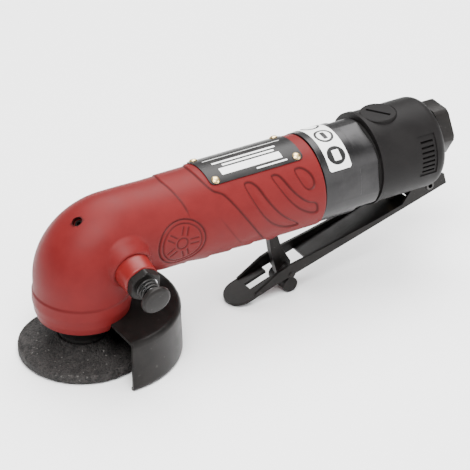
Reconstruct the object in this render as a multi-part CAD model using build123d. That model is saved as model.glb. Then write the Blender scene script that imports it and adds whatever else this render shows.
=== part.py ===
from build123d import *
import os
from math import acos, atan2, cos, pi, radians, sin, sqrt, tan

# Pneumatic angle grinder with a 58 mm depressed-centre wheel. Millimetres.
# Working frame: the wheel spindle is the Z axis, the head's rim is z = 0, and the handle
# runs along +X at z = AXIS_Z. Every part is moved to the stored frame when it is written:
# origin under the middle of the tool, on the surface that it stands on.

# ---------------------------------------------------------------- driving dimensions
AXIS_Z = 34.4          # handle axis above the head's rim
BEND_R = 15.5          # centreline radius of the elbow between head and handle
NOSE_R = 20.8          # outside of the rubber round the head
METAL_R = 18.4         # outside of the metal under the rubber
COLLAR_R = 22.2        # thicker rubber round the rim
COLLAR_TOP = 11.0
GRIP_R = 21.1          # outside of the rubber round the handle
GRIP_START = 45.0
GRIP_END = 114.3

GUARD_PLATE_Z = 2.0    # underside of the guard's plate
GUARD_T = 1.6
GUARD_R = 40.6
GUARD_CENTRE_X = 4.4   # the guard's curve is centred behind the spindle
GUARD_FRONT_X = 3.0
FLOOR_Z = -20.8        # the guard's lower edge stands on the floor
HEAD_BASE_Z = GUARD_PLATE_Z + GUARD_T

WHEEL_R = 29.0
WHEEL_T = 4.0
WHEEL_BORE_R = 4.765
WHEEL_LOW_Z = -19.8
WHEEL_DEPRESSION = 5.0

HEAD_END_X = 46.0
SPIGOT_X = 38.0        # front of the motor housing, inside the head
SPIGOT_R = 16.8
MOTOR_BORE_R = 15.5
MOTOR_X = 40.0         # front face of the motor's front plate
PLATE_T = 9.0
LINER_LENGTH = 44.0
LINER_BORE_R = 12.6
LINER_OFFSET = 1.4
ROTOR_R = 11.0
VANES = 5
BAND_X = GRIP_END + 0.3
BAND_END = 143.6
BAND_R = 21.3
BAND_FLATS = 40.2
FLATS_X = 133.5

HOUSING_X = BAND_END + 1.4
HOUSING_END = 182.0
HOUSING_R = 21.5
HOUSING_Z = AXIS_Z + 1.6  # the rear housing sits a little higher than the motor
INLET_Z = AXIS_Z + 6.4
INLET_END = 190.4
INLET_FLATS = 23.8
INLET_THREAD_R = 5.7   # minor radius of a quarter-inch female pipe thread
INLET_DEPTH = 12.0
SHANK_R = 8.5

VALVE_X = 165.0
VALVE_BORE_R = 4.5
REGULATOR_X = 155.5
REGULATOR_R = 8.6

PIN_X = 181.1          # lever pivot
PIN_Z = 15.4
PIN_R = 2.0
LEVER_SLOPE = 16.1     # degrees below the handle, towards the tip
LEVER_HALF_WIDTH = 8.5
LEVER_T = 1.3
LEVER_LOW = -3.95      # lower edge, below the line through the pivot
LEVER_LENGTH = 111.6

LOCK_LEVER_X = 105.0   # pivot of the lock-off lever
LOCK_LEVER_Z = -9.8

MODULE = 1.2
GEAR_TEETH = 18
PINION_TEETH = 12
FACE_WIDTH = 4.2
BACKLASH = 0.25
GEAR_PITCH_R = MODULE * GEAR_TEETH / 2
PINION_PITCH_R = MODULE * PINION_TEETH / 2
CONE_R = sqrt(GEAR_PITCH_R ** 2 + PINION_PITCH_R ** 2)

LOCK_X = 14.0          # spindle lock, square to the handle axis and tilted down
LOCK_TILT = 12.0
BOSS_R = 7.0
BOSS_END = 31.5
NUT_END = 35.5
BUTTON_START = 42.6
BUTTON_END = 45.6
BUTTON_R = 6.9

RUN = 0.05             # radial running clearance
BALL_R = 1.5
BEARING_W = 6.0

ORIGIN_X = (INLET_END - WHEEL_R) / 2
LOCK_REACH = BUTTON_END * cos(radians(LOCK_TILT)) + BUTTON_R * sin(radians(LOCK_TILT))
ORIGIN_Y = (GUARD_R - LOCK_REACH) / 2

BOTTOM = (Align.CENTER, Align.CENTER, Align.MIN)


# ---------------------------------------------------------------- shapes used throughout
def z_cylinder(radius, low, high, x=0.0, y=0.0):
    """Cylinder along Z."""
    return Pos(x, y, low) * Cylinder(radius, high - low, align=BOTTOM)


def z_ring(outer, inner, low, high, x=0.0, y=0.0):
    """Ring about a Z axis."""
    return z_cylinder(outer, low, high, x, y) - z_cylinder(inner, low, high, x, y)


def x_cylinder(radius, start, end, y=0.0, z=AXIS_Z):
    """Cylinder along X."""
    return Pos(start, y, z) * Rot(0, 90, 0) * Cylinder(radius, end - start, align=BOTTOM)


def x_ring(outer, inner, start, end, z=AXIS_Z):
    """Ring about an X axis."""
    return x_cylinder(outer, start, end, z=z) - x_cylinder(inner, start, end, z=z)


def y_cylinder(radius, start, end, x, z):
    """Cylinder along Y."""
    return Pos(x, start, z) * Rot(-90, 0, 0) * Cylinder(radius, end - start, align=BOTTOM)


LOCK_FRAME = Plane(
    origin=(LOCK_X, 0, AXIS_Z),
    x_dir=(1, 0, 0),
    z_dir=(0, -cos(radians(LOCK_TILT)), -sin(radians(LOCK_TILT))),
)


def lock_cylinder(radius, start, end):
    """Cylinder on the spindle lock's axis, measured outwards from the handle axis."""
    return LOCK_FRAME * Pos(0, 0, start) * Cylinder(radius, end - start, align=BOTTOM)


def block(x0, x1, y0, y1, z0, z1):
    """Box between two corners."""
    return Pos(x0, y0, z0) * Box(x1 - x0, y1 - y0, z1 - z0, align=(Align.MIN,) * 3)


def elbow(radius, low, end):
    """Round bar down the spindle axis, round the bend and along the handle axis."""
    bend_z = AXIS_Z - BEND_R
    half = Circle(radius) - Pos(BEND_R + 2 * radius, 0) * Rectangle(4 * radius, 4 * radius)
    section = Pos(0, 0, bend_z) * half
    corner = revolve(section, axis=Axis((BEND_R, 0, bend_z), (0, 1, 0)), revolution_arc=90)
    return corner + z_cylinder(radius, low, bend_z) + x_cylinder(radius, BEND_R, end)


def turned(points):
    """Solid turned about Z from a closed outline of (radius, z) points."""
    outline = make_face(Polyline(*[(r, 0, z) for r, z in points], close=True))
    return revolve(outline, axis=Axis.Z, revolution_arc=360)


def coil(radius, wire, height, turns):
    """Round-wire helical spring standing on the XY plane."""
    path = Helix(pitch=height / turns, height=height, radius=radius)
    profile = Plane(origin=path @ 0, z_dir=path % 0) * Circle(wire)
    return sweep(profile, path=path, is_frenet=True)


def group(shapes):
    """Several separate solids kept in one part."""
    together = Part()
    for shape in shapes:
        together += shape
    return together


def bearing(bore, outer, pitch, balls):
    """Ball bearing standing on the XY plane: outer race, inner race and balls."""
    groove = Pos(0, 0, BEARING_W / 2) * Torus(pitch, BALL_R + RUN)
    wall = 0.8 * BALL_R
    outer_race = z_ring(outer, pitch + wall, 0, BEARING_W) - groove
    inner_race = z_ring(pitch - wall, bore, 0, BEARING_W) - groove
    spheres = [
        Rot(0, 0, 360 * i / balls) * Pos(pitch, 0, BEARING_W / 2) * Sphere(BALL_R)
        for i in range(balls)
    ]
    return outer_race, inner_race, spheres


# ---------------------------------------------------------------- bevel gears
def tooth_outline(virtual_teeth):
    """Half outline of an involute tooth as (height above pitch line, half thickness)."""
    pitch = MODULE * virtual_teeth / 2
    pressure = radians(20)
    base = pitch * cos(pressure)
    tooth_angle = (pi * MODULE / 2 - BACKLASH / 2) / (2 * pitch)
    involute_pitch = tan(pressure) - pressure
    root = pitch - 1.5 * MODULE
    tip = pitch + 0.8 * MODULE
    start = max(base, pitch - 1.2 * MODULE)
    rows = []
    for i in range(5):
        radius = start + (tip - start) * i / 4
        angle = acos(min(1.0, base / radius))
        half_angle = tooth_angle + involute_pitch - (tan(angle) - angle)
        rows.append((radius * cos(half_angle) - pitch, radius * sin(half_angle)))
    return [(root - pitch, rows[0][1])] + rows


def bevel_teeth(teeth, mate_teeth):
    """Straight bevel teeth with the cone's apex at the origin and the gear below it."""
    cone = atan2(teeth, mate_teeth)
    outline = tooth_outline(teeth / cos(cone))
    pitch_point = Vector(CONE_R * sin(cone), 0, -CONE_R * cos(cone))
    outward = Vector(cos(cone), 0, sin(cone))
    across = Vector(0, 1, 0)
    right = [pitch_point + outward * h + across * t for h, t in outline]
    left = [pitch_point + outward * h - across * t for h, t in reversed(outline)]
    inner_scale = 1 - FACE_WIDTH / CONE_R
    ends = [Wire.make_polygon([p * k for p in right + left]) for k in (1.0, inner_scale)]
    tooth = Solid.make_loft(ends, ruled=True)
    return [Rot(0, 0, 360 * i / teeth) * tooth for i in range(teeth)]


def make_bevel_gear():
    """Gear on the spindle, apex where the two axes cross."""
    low = AXIS_Z - 8.45
    blank = turned([
        (5, 21), (7.5, 21), (7.5, 22.4), (9.97, 24.9), (9.97, low), (6.74, AXIS_Z - 5.71),
        (5.8, 27), (5, 27),
    ])
    for tooth in bevel_teeth(GEAR_TEETH, PINION_TEETH):
        blank += Pos(0, 0, AXIS_Z) * tooth
    return blank - spindle_key()


def make_bevel_pinion():
    """Pinion on the rotor shaft, with the drilled collar that the spindle lock enters."""
    blank = Rot(180, 0, 0) * turned([
        (2.8, 7.86), (4.02, 7.86), (5.95, 11.63), (5.95, 12.0), (7, 12.0), (7, 17.6), (2.8, 17.6),
    ])
    for tooth in bevel_teeth(PINION_TEETH, GEAR_TEETH):
        blank += Rot(0, 0, 180 / PINION_TEETH) * tooth
    pinion = Pos(0, 0, AXIS_Z) * Rot(0, -90, 0) * blank
    hole = lock_cylinder(1.5, 3.9, 8)
    for i in range(8):
        pinion -= Pos(0, 0, AXIS_Z) * Rot(45 * i, 0, 0) * Pos(0, 0, -AXIS_Z) * hole
    return pinion


def spindle_key():
    """Square key between spindle and gear."""
    return block(-6, -4, -1, 1, 21.6, 26.4)


# ---------------------------------------------------------------- small tools of the head
OIL_POINT = (-3.94, -3.65, 49.4)
OIL_AXIS = (-0.529, -0.174, 0.831)


def oil_cylinder(radius, depth, length):
    """Cylinder on the oil hole's axis, from a depth below the rubber's surface outwards."""
    return Plane(origin=OIL_POINT, z_dir=OIL_AXIS) * Pos(0, 0, -depth) * Cylinder(
        radius, length, align=BOTTOM)


def guard_screw(angle):
    """Countersunk screw that holds the guard to the head."""
    x = 15.6 * cos(radians(angle))
    y = 15.6 * sin(radians(angle))
    head = turned([(0, 0), (2.3, 0), (1.25, 1.2), (0, 1.2)])
    return Pos(x, y, GUARD_PLATE_Z) * head + z_cylinder(1.25, GUARD_PLATE_Z + 1.2, 8.5, x, y)


GUARD_SCREWS = [guard_screw(45 + 90 * i) for i in range(4)]


def plate_screw(x, angle):
    """Domed drive screw of the nameplate, at an angle from the top of the handle."""
    shank = z_cylinder(0.9, GRIP_R - 2.2, GRIP_R + 0.4)
    dome = z_cylinder(1.9, 0, 2) & Pos(0, 0, -1.45) * Sphere(2.45)
    return Pos(x, 0, AXIS_Z) * Rot(angle, 0, 0) * (shank + Pos(0, 0, GRIP_R + 0.4) * dome)


PLATE_X = (59.5, 108.0)
PLATE_SCREWS = [plate_screw(x, a) for x in (62.6, 105.0) for a in (-27, 27)]


# ---------------------------------------------------------------- head
def make_head_housing():
    """Aluminium angle head with the lock boss, gear chamber and bearing seats."""
    body = elbow(METAL_R, HEAD_BASE_Z, HEAD_END_X) + lock_cylinder(BOSS_R, 12, BOSS_END)
    hollows = [
        z_cylinder(12.6, HEAD_BASE_Z, 9),
        z_cylinder(11, 9, 21),
        z_cylinder(9.4, 21, 21.6),
        z_cylinder(13.2, 21.6, 38),
        x_cylinder(8.8, 4, 21),
        x_cylinder(9.5, 21, 27),
        x_cylinder(14, 27, SPIGOT_X),
        x_cylinder(SPIGOT_R, SPIGOT_X, HEAD_END_X),
        lock_cylinder(4.5, 5, BOSS_END),
        oil_cylinder(2.0, 20, 22),
    ]
    for hollow in hollows + GUARD_SCREWS:
        body -= hollow
    return body


def make_rubber_cover():
    """Moulded rubber over the head and handle."""
    cover = elbow(NOSE_R, 0, GRIP_START) + x_cylinder(GRIP_R, GRIP_START, GRIP_END)
    collar = turned([(0, 0), (COLLAR_R - 1.4, 0), (COLLAR_R, 6), (COLLAR_R, COLLAR_TOP - 1),
                     (COLLAR_R - 1, COLLAR_TOP), (0, COLLAR_TOP)])
    cover += collar
    cover -= elbow(METAL_R, -1, GRIP_END)
    cover -= block(GUARD_FRONT_X, 60, -40, 40, -1, HEAD_BASE_Z)
    cover -= lock_cylinder(BOSS_R, 5, 40)
    cover -= oil_cylinder(2.4, 8, 12)
    for screw in PLATE_SCREWS:
        cover -= screw
    return cover


def make_oil_plug():
    """Slotless oil plug at the bottom of its hole, with a hexagon socket."""
    plug = oil_cylinder(2.0, 6.5, 4.0)
    socket = Plane(origin=OIL_POINT, z_dir=OIL_AXIS) * Pos(0, 0, -4.0) * extrude(
        RegularPolygon(1.1, 6), 2)
    return plug - socket


def make_guard():
    """Steel guard: clamping ring, plate and curved skirt with a turned-in lower edge."""
    plate_top = HEAD_BASE_Z
    bend = 3.5
    outer = turned([
        (0, plate_top), (GUARD_R - bend, plate_top), (GUARD_R - 1, plate_top - 1),
        (GUARD_R, plate_top - bend), (GUARD_R, FLOOR_Z), (0, FLOOR_Z),
    ])
    inner_r = GUARD_R - GUARD_T
    inner = turned([
        (0, GUARD_PLATE_Z), (inner_r - 2.6, GUARD_PLATE_Z), (inner_r - 0.7, GUARD_PLATE_Z - 0.7),
        (inner_r, GUARD_PLATE_Z - 2.6), (inner_r, FLOOR_Z + 1.2), (inner_r - 1.4, FLOOR_Z + 1.2),
        (inner_r - 1.4, FLOOR_Z), (0, FLOOR_Z),
    ])
    guard = Pos(GUARD_CENTRE_X, 0, 0) * (outer - inner)
    guard &= block(GUARD_FRONT_X, 60, -50, 50, -30, 10)
    guard += z_cylinder(METAL_R - 0.2, GUARD_PLATE_Z, plate_top)
    guard -= z_cylinder(12.7, -5, 10)
    for screw in GUARD_SCREWS:
        guard -= screw
    return guard


def make_bearing_cap():
    """Threaded cap that holds the lower bearing and the seal."""
    cap = z_cylinder(12.6, -1.6, 9) - z_cylinder(11, 5, 9) - z_cylinder(7.3, -1.6, 5)
    cap -= z_cylinder(9.5, -0.4, 2.6)
    for side in (-1, 1):
        cap -= z_cylinder(0.9, -1.6, -0.9, 10.9 * side)
    return cap


def make_spindle():
    """Spindle with its shoulder, bearing seats, wheel thread and top thread."""
    spindle = turned([
        (0, -19.0), (4.2, -19.0), (4.7, -18.5), (4.7, -6.8), (6.6, -6.8), (6.6, 5), (5, 5),
        (5, 27), (3.5, 27), (3.5, 30.0), (0, 30.0),
    ])
    spindle -= Pos(0, 0, -19) * extrude(RegularPolygon(2.2, 6), 4)
    return spindle - spindle_key()


def make_gear_nut():
    """Thin hexagon nut that clamps the gear on the spindle."""
    nut = Pos(0, 0, 27) * extrude(RegularPolygon(5.5, 6), 2.4)
    return nut - z_cylinder(3.5, 27, 30)


def make_wheel():
    """Depressed-centre grinding wheel."""
    rim_top = WHEEL_LOW_Z + WHEEL_T
    hub_top = rim_top + WHEEL_DEPRESSION
    return turned([
        (WHEEL_BORE_R, hub_top), (11.5, hub_top), (16.0, rim_top), (WHEEL_R - 0.4, rim_top),
        (WHEEL_R, rim_top - 0.4), (WHEEL_R, WHEEL_LOW_Z + 0.4), (WHEEL_R - 0.4, WHEEL_LOW_Z),
        (15.0, WHEEL_LOW_Z), (10.6, hub_top - WHEEL_T), (WHEEL_BORE_R, hub_top - WHEEL_T),
    ])


def make_inner_flange():
    """Backing flange between the spindle shoulder and the wheel."""
    return turned([(4.7, -10.8), (10.5, -10.8), (10.5, -9.4), (8.0, -6.8), (4.7, -6.8)])


def make_flange_nut():
    """Round nut under the wheel with two holes for a pin spanner."""
    nut = turned([(4.7, -14.8), (10.0, -14.8), (10.0, -16.8), (8.6, -18.2), (4.7, -18.2)])
    for side in (-1, 1):
        nut -= z_cylinder(0.9, -18.2, -16.2, 7.0 * side)
    return nut


# ---------------------------------------------------------------- spindle lock
def make_lock_nut():
    """Hexagon nut on the lock's guide."""
    nut = LOCK_FRAME * Pos(0, 0, BOSS_END) * extrude(
        RegularPolygon(7.0, 6, major_radius=False), NUT_END - BOSS_END)
    return nut - lock_cylinder(4.5, BOSS_END, NUT_END)


def make_lock_guide():
    """Threaded guide bush of the lock pin."""
    return lock_cylinder(4.5, 9.4, NUT_END) - lock_cylinder(1.9 + RUN, 9, NUT_END)


def make_lock_pin():
    """Plunger with a narrower tip that enters the pinion's collar."""
    return lock_cylinder(1.35, 7.6, 11.2) + lock_cylinder(1.9, 11.2, BUTTON_START)


def make_lock_button():
    """Round push button on the plunger, slightly domed."""
    outline = [(0, 0), (BUTTON_R - 0.6, 0), (BUTTON_R, 0.5), (BUTTON_R, 1.9),
               (BUTTON_R - 0.8, 2.7), (0, 3.0)]
    return LOCK_FRAME * Pos(0, 0, BUTTON_START) * turned(outline)


def make_lock_spring():
    """Return spring between the nut and the button."""
    height = BUTTON_START - NUT_END - 1.1
    return LOCK_FRAME * Pos(0, 0, NUT_END + 0.55) * coil(3.4, 0.5, height, 3)


# ---------------------------------------------------------------- motor
def make_motor_housing():
    """Steel tube under the grip, ending in the ground band with its wrench flats."""
    rear = x_cylinder(BAND_R, FLATS_X, BAND_END)
    hexagon = Plane(origin=(FLATS_X, 0, AXIS_Z), x_dir=(0, -1, 0), z_dir=(1, 0, 0)) * Rot(
        0, 0, 51.5 - 30)
    flats = hexagon * extrude(RegularPolygon(BAND_FLATS / 2, 6, major_radius=False),
                              BAND_END - FLATS_X)
    tube = x_cylinder(SPIGOT_R, SPIGOT_X, HEAD_END_X) + x_cylinder(METAL_R, HEAD_END_X, BAND_X)
    tube += x_cylinder(BAND_R, BAND_X, FLATS_X) + (rear & flats)
    tube -= x_cylinder(14, SPIGOT_X, MOTOR_X)
    return tube - x_cylinder(MOTOR_BORE_R, MOTOR_X, BAND_END)


DOWEL = x_cylinder(1.1, MOTOR_X + 4, MOTOR_X + 2 * PLATE_T + LINER_LENGTH - 4, z=AXIS_Z - 13.4)
LINER_X = MOTOR_X + PLATE_T
REAR_PLATE_X = LINER_X + LINER_LENGTH
CLAMP_X = REAR_PLATE_X + PLATE_T


def make_front_end_plate():
    """Front plate of the air motor, with a bearing pocket."""
    plate = x_cylinder(MOTOR_BORE_R, MOTOR_X, LINER_X) - x_cylinder(9.5, MOTOR_X, MOTOR_X + 6)
    return plate - x_cylinder(4, MOTOR_X, LINER_X) - DOWEL


def make_rear_end_plate():
    """Rear plate of the air motor, with a bearing pocket and the air ports."""
    plate = x_cylinder(MOTOR_BORE_R, REAR_PLATE_X, CLAMP_X)
    plate -= x_cylinder(9.5, CLAMP_X - BEARING_W, CLAMP_X)
    for y in (-7, 7):
        plate -= x_cylinder(1.5, REAR_PLATE_X, CLAMP_X, y=y, z=AXIS_Z + 10)
    return plate - x_cylinder(4, REAR_PLATE_X, CLAMP_X) - DOWEL


def make_cylinder_liner():
    """Motor cylinder with its bore off centre and a row of exhaust ports."""
    liner = x_cylinder(MOTOR_BORE_R, LINER_X, REAR_PLATE_X)
    liner -= x_cylinder(LINER_BORE_R, LINER_X, REAR_PLATE_X, z=AXIS_Z + LINER_OFFSET)
    for i in range(5):
        liner -= y_cylinder(1.6, -20, 0, LINER_X + 8 + 7 * i, AXIS_Z)
    return liner - DOWEL


def make_rotor():
    """Slotted rotor with its shaft running forward to the pinion."""
    rotor = x_cylinder(ROTOR_R, LINER_X + RUN, REAR_PLATE_X - RUN)
    rotor += x_cylinder(3.5, 17.6, CLAMP_X + 0.5) + x_cylinder(2.8, 8.0, 17.6)
    for i in range(VANES):
        slot = block(LINER_X, REAR_PLATE_X, -0.75, 0.75, 5.4, ROTOR_R + 1)
        rotor -= Pos(0, 0, AXIS_Z) * Rot(360 * i / VANES, 0, 0) * slot
    return rotor


def make_rotor_vanes():
    """Sliding vanes, drawn in flush with the rotor."""
    vane = block(LINER_X + 0.1, REAR_PLATE_X - 0.1, -0.7, 0.7, 5.6, ROTOR_R - 0.05)
    return group(Pos(0, 0, AXIS_Z) * Rot(360 * i / VANES, 0, 0) * vane for i in range(VANES))


def rotor_bearings():
    """Three equal bearings: behind the pinion, and in the motor's two end plates."""
    parts = []
    for x in (21.0, MOTOR_X, CLAMP_X - BEARING_W):
        outer, inner, balls = bearing(3.5, 9.5, 6.5, 9)
        place = Pos(x, 0, AXIS_Z) * Rot(0, 90, 0)
        parts.append((place * outer, place * inner, [place * ball for ball in balls]))
    return parts


def spindle_bearings():
    """Two equal bearings below the bevel gear."""
    parts = []
    for z in (5.0, 15.0):
        outer, inner, balls = bearing(5.0, 11.0, 8.0, 11)
        parts.append((Pos(0, 0, z) * outer, Pos(0, 0, z) * inner,
                      [Pos(0, 0, z) * ball for ball in balls]))
    return parts


# ---------------------------------------------------------------- rear housing and valve
def make_rear_housing():
    """Composite rear housing with its air passages, valve bore and lever lug."""
    shell = x_cylinder(HOUSING_R, HOUSING_X, HOUSING_END, z=HOUSING_Z)
    rim = shell.edges().filter_by(GeomType.CIRCLE).sort_by(Axis.X)[-1]
    lip = x_cylinder(HOUSING_R + 0.5, HOUSING_X, HOUSING_X + 2, z=HOUSING_Z)
    shell = fillet(rim, 5.5) + lip
    shell += x_cylinder(MOTOR_BORE_R, 128, HOUSING_X)
    lug = block(172, 186, -6.8, 6.8, 10.4, 24)
    lug = fillet(lug.edges().filter_by(Axis.Y).sort_by(Axis.Z)[:2], 4)
    shell += lug + block(169.6, 174, -6.8, 6.8, 12, 24)
    hollows = [
        x_cylinder(SHANK_R, 171, HOUSING_END, z=INLET_Z),
        x_cylinder(4, VALVE_X, 171, z=INLET_Z),
        z_cylinder(VALVE_BORE_R, 5, AXIS_Z + 9, VALVE_X),
        x_cylinder(2.6, 128, VALVE_X, z=AXIS_Z - 8),
        x_cylinder(2.8, 128, 169.5, y=-9.5, z=AXIS_Z + 7),
        z_cylinder(4.0, AXIS_Z - 12.1, AXIS_Z + 18, REGULATOR_X),
        z_cylinder(REGULATOR_R + 0.1, AXIS_Z + 17.5, AXIS_Z + 25, REGULATOR_X),
        y_cylinder(PIN_R, -12, 12, PIN_X, PIN_Z),
        VENT_BLOCK,
    ]
    for side in (-9.2, 6.9):
        hollows.append(block(163, 190, side, side + 2.3, 5, 20))
    for hollow in hollows:
        shell -= hollow
    return shell


VENT_BLOCK = block(166, 175.4, -24, -12.2, AXIS_Z - 4, AXIS_Z + 15)


def make_exhaust_grille():
    """Ribbed cover of the exhaust opening, following the housing's curve."""
    grille = x_ring(HOUSING_R - 0.5, 18.8, 160, 180, z=HOUSING_Z) & VENT_BLOCK
    for i in range(7):
        z = AXIS_Z - 2.2 + 2.3 * i
        grille -= block(167.3, 174.1, -24, -5, z, z + 1.0)
    return grille


def make_exhaust_muffler():
    """Porous block behind the exhaust grille."""
    return x_cylinder(18.8, 160, 180, z=HOUSING_Z) & VENT_BLOCK


def make_valve_seat():
    """Seat of the throttle valve."""
    return z_ring(VALVE_BORE_R, 2.2, AXIS_Z - 6, AXIS_Z - 2, VALVE_X)


def make_valve_guide():
    """Bush that guides the valve stem out of the housing."""
    return z_ring(VALVE_BORE_R, 1.6 + RUN, 15.0, 19, VALVE_X)


def make_stem_seal():
    """Seal ring round the valve stem."""
    return z_ring(3.4, 1.6 + RUN, 19, 20.6, VALVE_X)


def make_valve_stem():
    """Stem that the lever lifts."""
    return z_cylinder(1.6, 9.1, AXIS_Z - 1.9, VALVE_X)


def make_valve_poppet():
    """Valve disc that closes the seat."""
    return z_cylinder(3.6, AXIS_Z - 1.9, AXIS_Z + 0.5, VALVE_X)


def make_valve_spring():
    """Spring that holds the valve closed."""
    return Pos(VALVE_X, 0, AXIS_Z + 1.0) * coil(2.9, 0.4, 7.4, 4)


def make_regulator():
    """Speed regulator: slotted disc, drum and the cross hole that meters the air."""
    low = AXIS_Z - 12
    top = AXIS_Z + 23.2
    drum = z_cylinder(4.0 - RUN, low, AXIS_Z + 17.5, REGULATOR_X)
    disc = z_cylinder(REGULATOR_R, AXIS_Z + 17.5, top, REGULATOR_X)
    disc = chamfer(disc.edges().sort_by(Axis.Z)[-1], 0.4)
    body = drum + disc
    body -= x_cylinder(2.4, REGULATOR_X - 6, REGULATOR_X + 6, z=AXIS_Z - 8)
    slot = Rot(0, 0, -54) * block(-6, 6, -0.8, 0.8, top - 1.5, top)
    body -= Pos(REGULATOR_X, 0, 0) * slot
    return body - z_ring(4, 3.1, AXIS_Z + 10, AXIS_Z + 11.4, REGULATOR_X)


def make_regulator_seal():
    """Seal ring in the regulator's groove."""
    return z_ring(4.0 - RUN, 3.1, AXIS_Z + 10, AXIS_Z + 11.4, REGULATOR_X)


def make_inlet_bushing():
    """Hexagon air inlet with a quarter-inch female thread."""
    start = HOUSING_END + 0.8
    plane = Plane(origin=(start, 0, INLET_Z), x_dir=(0, 1, 0), z_dir=(1, 0, 0))
    bushing = plane * extrude(RegularPolygon(INLET_FLATS / 2, 6, major_radius=False),
                              INLET_END - start)
    bushing &= x_cylinder(13.0, start, INLET_END, z=INLET_Z)
    bushing += x_cylinder(SHANK_R, 171, start, z=INLET_Z)
    bushing -= x_cylinder(INLET_THREAD_R, INLET_END - INLET_DEPTH, INLET_END, z=INLET_Z)
    return bushing - x_cylinder(4, 171, INLET_END, z=INLET_Z)


def make_inlet_screen():
    """Fine wire cup that keeps dirt out of the valve."""
    end = INLET_END - INLET_DEPTH - 0.8
    cup = x_cylinder(3.95, 173, end, z=INLET_Z) - x_cylinder(3.5, 173.5, end, z=INLET_Z)
    for i in range(3):
        cup -= x_cylinder(0.5, 173, 174, y=1.8 * (i - 1), z=INLET_Z)
    return cup


# ---------------------------------------------------------------- lever and lock-off lever
SLOPE = radians(LEVER_SLOPE)
LEVER_FRAME = Plane(
    origin=(PIN_X, 0, PIN_Z), x_dir=(-cos(SLOPE), 0, -sin(SLOPE)), z_dir=(0, 1, 0))


def lever_point(x, z):
    """Distances along and above the lever's line for a point of the side view."""
    dx = PIN_X - x
    dz = PIN_Z - z
    return dx * cos(SLOPE) + dz * sin(SLOPE), dx * sin(SLOPE) - dz * cos(SLOPE)


def lever_plate(points, low, high):
    """Flat plate cut to a side view given along and above the lever's line."""
    face = make_face(Polyline(*points, close=True))
    return LEVER_FRAME * Pos(0, 0, low) * extrude(face, high - low)


LOCK_S, LOCK_N = lever_point(LOCK_LEVER_X, LOCK_LEVER_Z)


def make_throttle_lever():
    """Pressed channel lever with ears round the pivot and a slotted round tip."""
    inner = LEVER_HALF_WIDTH - LEVER_T
    side = [
        (-8.9, LEVER_LOW), (-8.9, 1.7), (-3, 3.6), (3, 3.8), (10.4, 2.9), (16.2, -1.5),
        (30, -1.3), (60, 0.4), (80, 2.0), (86, 1.6), (100, -2.4), (100, LEVER_LOW),
    ]
    web = [(11, LEVER_LOW), (11, LEVER_LOW + 1.5), (90, LEVER_LOW + 1.5),
           (LEVER_LENGTH, LEVER_LOW + 0.4), (LEVER_LENGTH, LEVER_LOW - 1.1), (90, LEVER_LOW)]
    lever = lever_plate(web, -LEVER_HALF_WIDTH, LEVER_HALF_WIDTH)
    for low, high in ((-LEVER_HALF_WIDTH, -inner), (inner, LEVER_HALF_WIDTH)):
        lever += lever_plate(side, low, high)
        lever += LEVER_FRAME * Pos(LOCK_S, LOCK_N, low) * Cylinder(2.3, high - low, align=BOTTOM)
    plan = Plane(origin=LEVER_FRAME.origin, x_dir=LEVER_FRAME.x_dir, z_dir=LEVER_FRAME.y_dir)
    tip_s = LEVER_LENGTH - LEVER_HALF_WIDTH
    outline = Circle(LEVER_HALF_WIDTH)
    outline = Pos(tip_s, 0) * outline + Pos(tip_s / 2 - 5, 0) * Rectangle(
        tip_s + 10, 2 * LEVER_HALF_WIDTH)
    lever &= plan * Pos(0, 0, -12) * extrude(outline, 24)
    window = Pos(78.25, 0) * Rectangle(18.5, 2 * inner - 0.1)
    slot = Pos(91, 0) * Rectangle(17, 5)
    lever -= plan * Pos(0, 0, -7) * extrude(window + slot, 6)
    lever -= y_cylinder(PIN_R + RUN, -12, 12, PIN_X, PIN_Z)
    return lever - y_cylinder(1.2, -12, 12, LOCK_LEVER_X, LOCK_LEVER_Z)


def make_lever_pin():
    """Hollow roll pin through the lug."""
    return y_cylinder(PIN_R, -9.2, 9.2, PIN_X, PIN_Z) - y_cylinder(1.1, -9.2, 9.2, PIN_X, PIN_Z)


def make_lock_lever():
    """Lock-off lever: an arm that props the throttle lever open, and a thumb barrel."""
    x, z = LOCK_LEVER_X, LOCK_LEVER_Z
    arm_points = [
        (x + 3.6, 0, z - 2.5), (x + 3.6, 0, z + 3.0), (x - 1.4, 0, z + 11.5), (x - 4.6, 0, 11.4),
        (x - 9.0, 0, 12.3), (x - 7.0, 0, z + 10.5), (x - 3.4, 0, z - 2.5),
    ]
    arm = extrude(make_face(Polyline(*arm_points, close=True)), 1.9, both=True)
    neck = extrude(make_face(Polyline(
        (x - 3.2, 0, z), (x + 3.4, 0, z), (x + 4.0, 0, z - 7), (x - 2.4, 0, z - 7), close=True)),
        1.9, both=True)
    hub = y_cylinder(2.6, -6.9, 6.9, x, z)
    barrel = y_cylinder(3.7, -6.8, 6.8, x + 0.9, z - 6.9)
    return arm + neck + hub + barrel - y_cylinder(1.2 + RUN, -12, 12, x, z)


def make_lock_lever_pin():
    """Pin of the lock-off lever, riveted into the throttle lever."""
    return y_cylinder(1.2, -LEVER_HALF_WIDTH - 0.5, LEVER_HALF_WIDTH + 0.5, LOCK_LEVER_X,
                      LOCK_LEVER_Z)


# ---------------------------------------------------------------- trim
def make_nameplate():
    """Curved metal plate on top of the grip."""
    shell = x_ring(GRIP_R + 0.4, GRIP_R, PLATE_X[0], PLATE_X[1])
    plate = shell & block(0, 150, -11.6, 11.6, AXIS_Z, AXIS_Z + 30)
    for screw in PLATE_SCREWS:
        plate -= screw
    return plate


def make_band_label():
    """Thin label wrapped over the top of the steel band."""
    return x_ring(BAND_R + 0.15, BAND_R, 118, 130) & block(0, 150, -30, 30, AXIS_Z + 10.7, 99)


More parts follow.
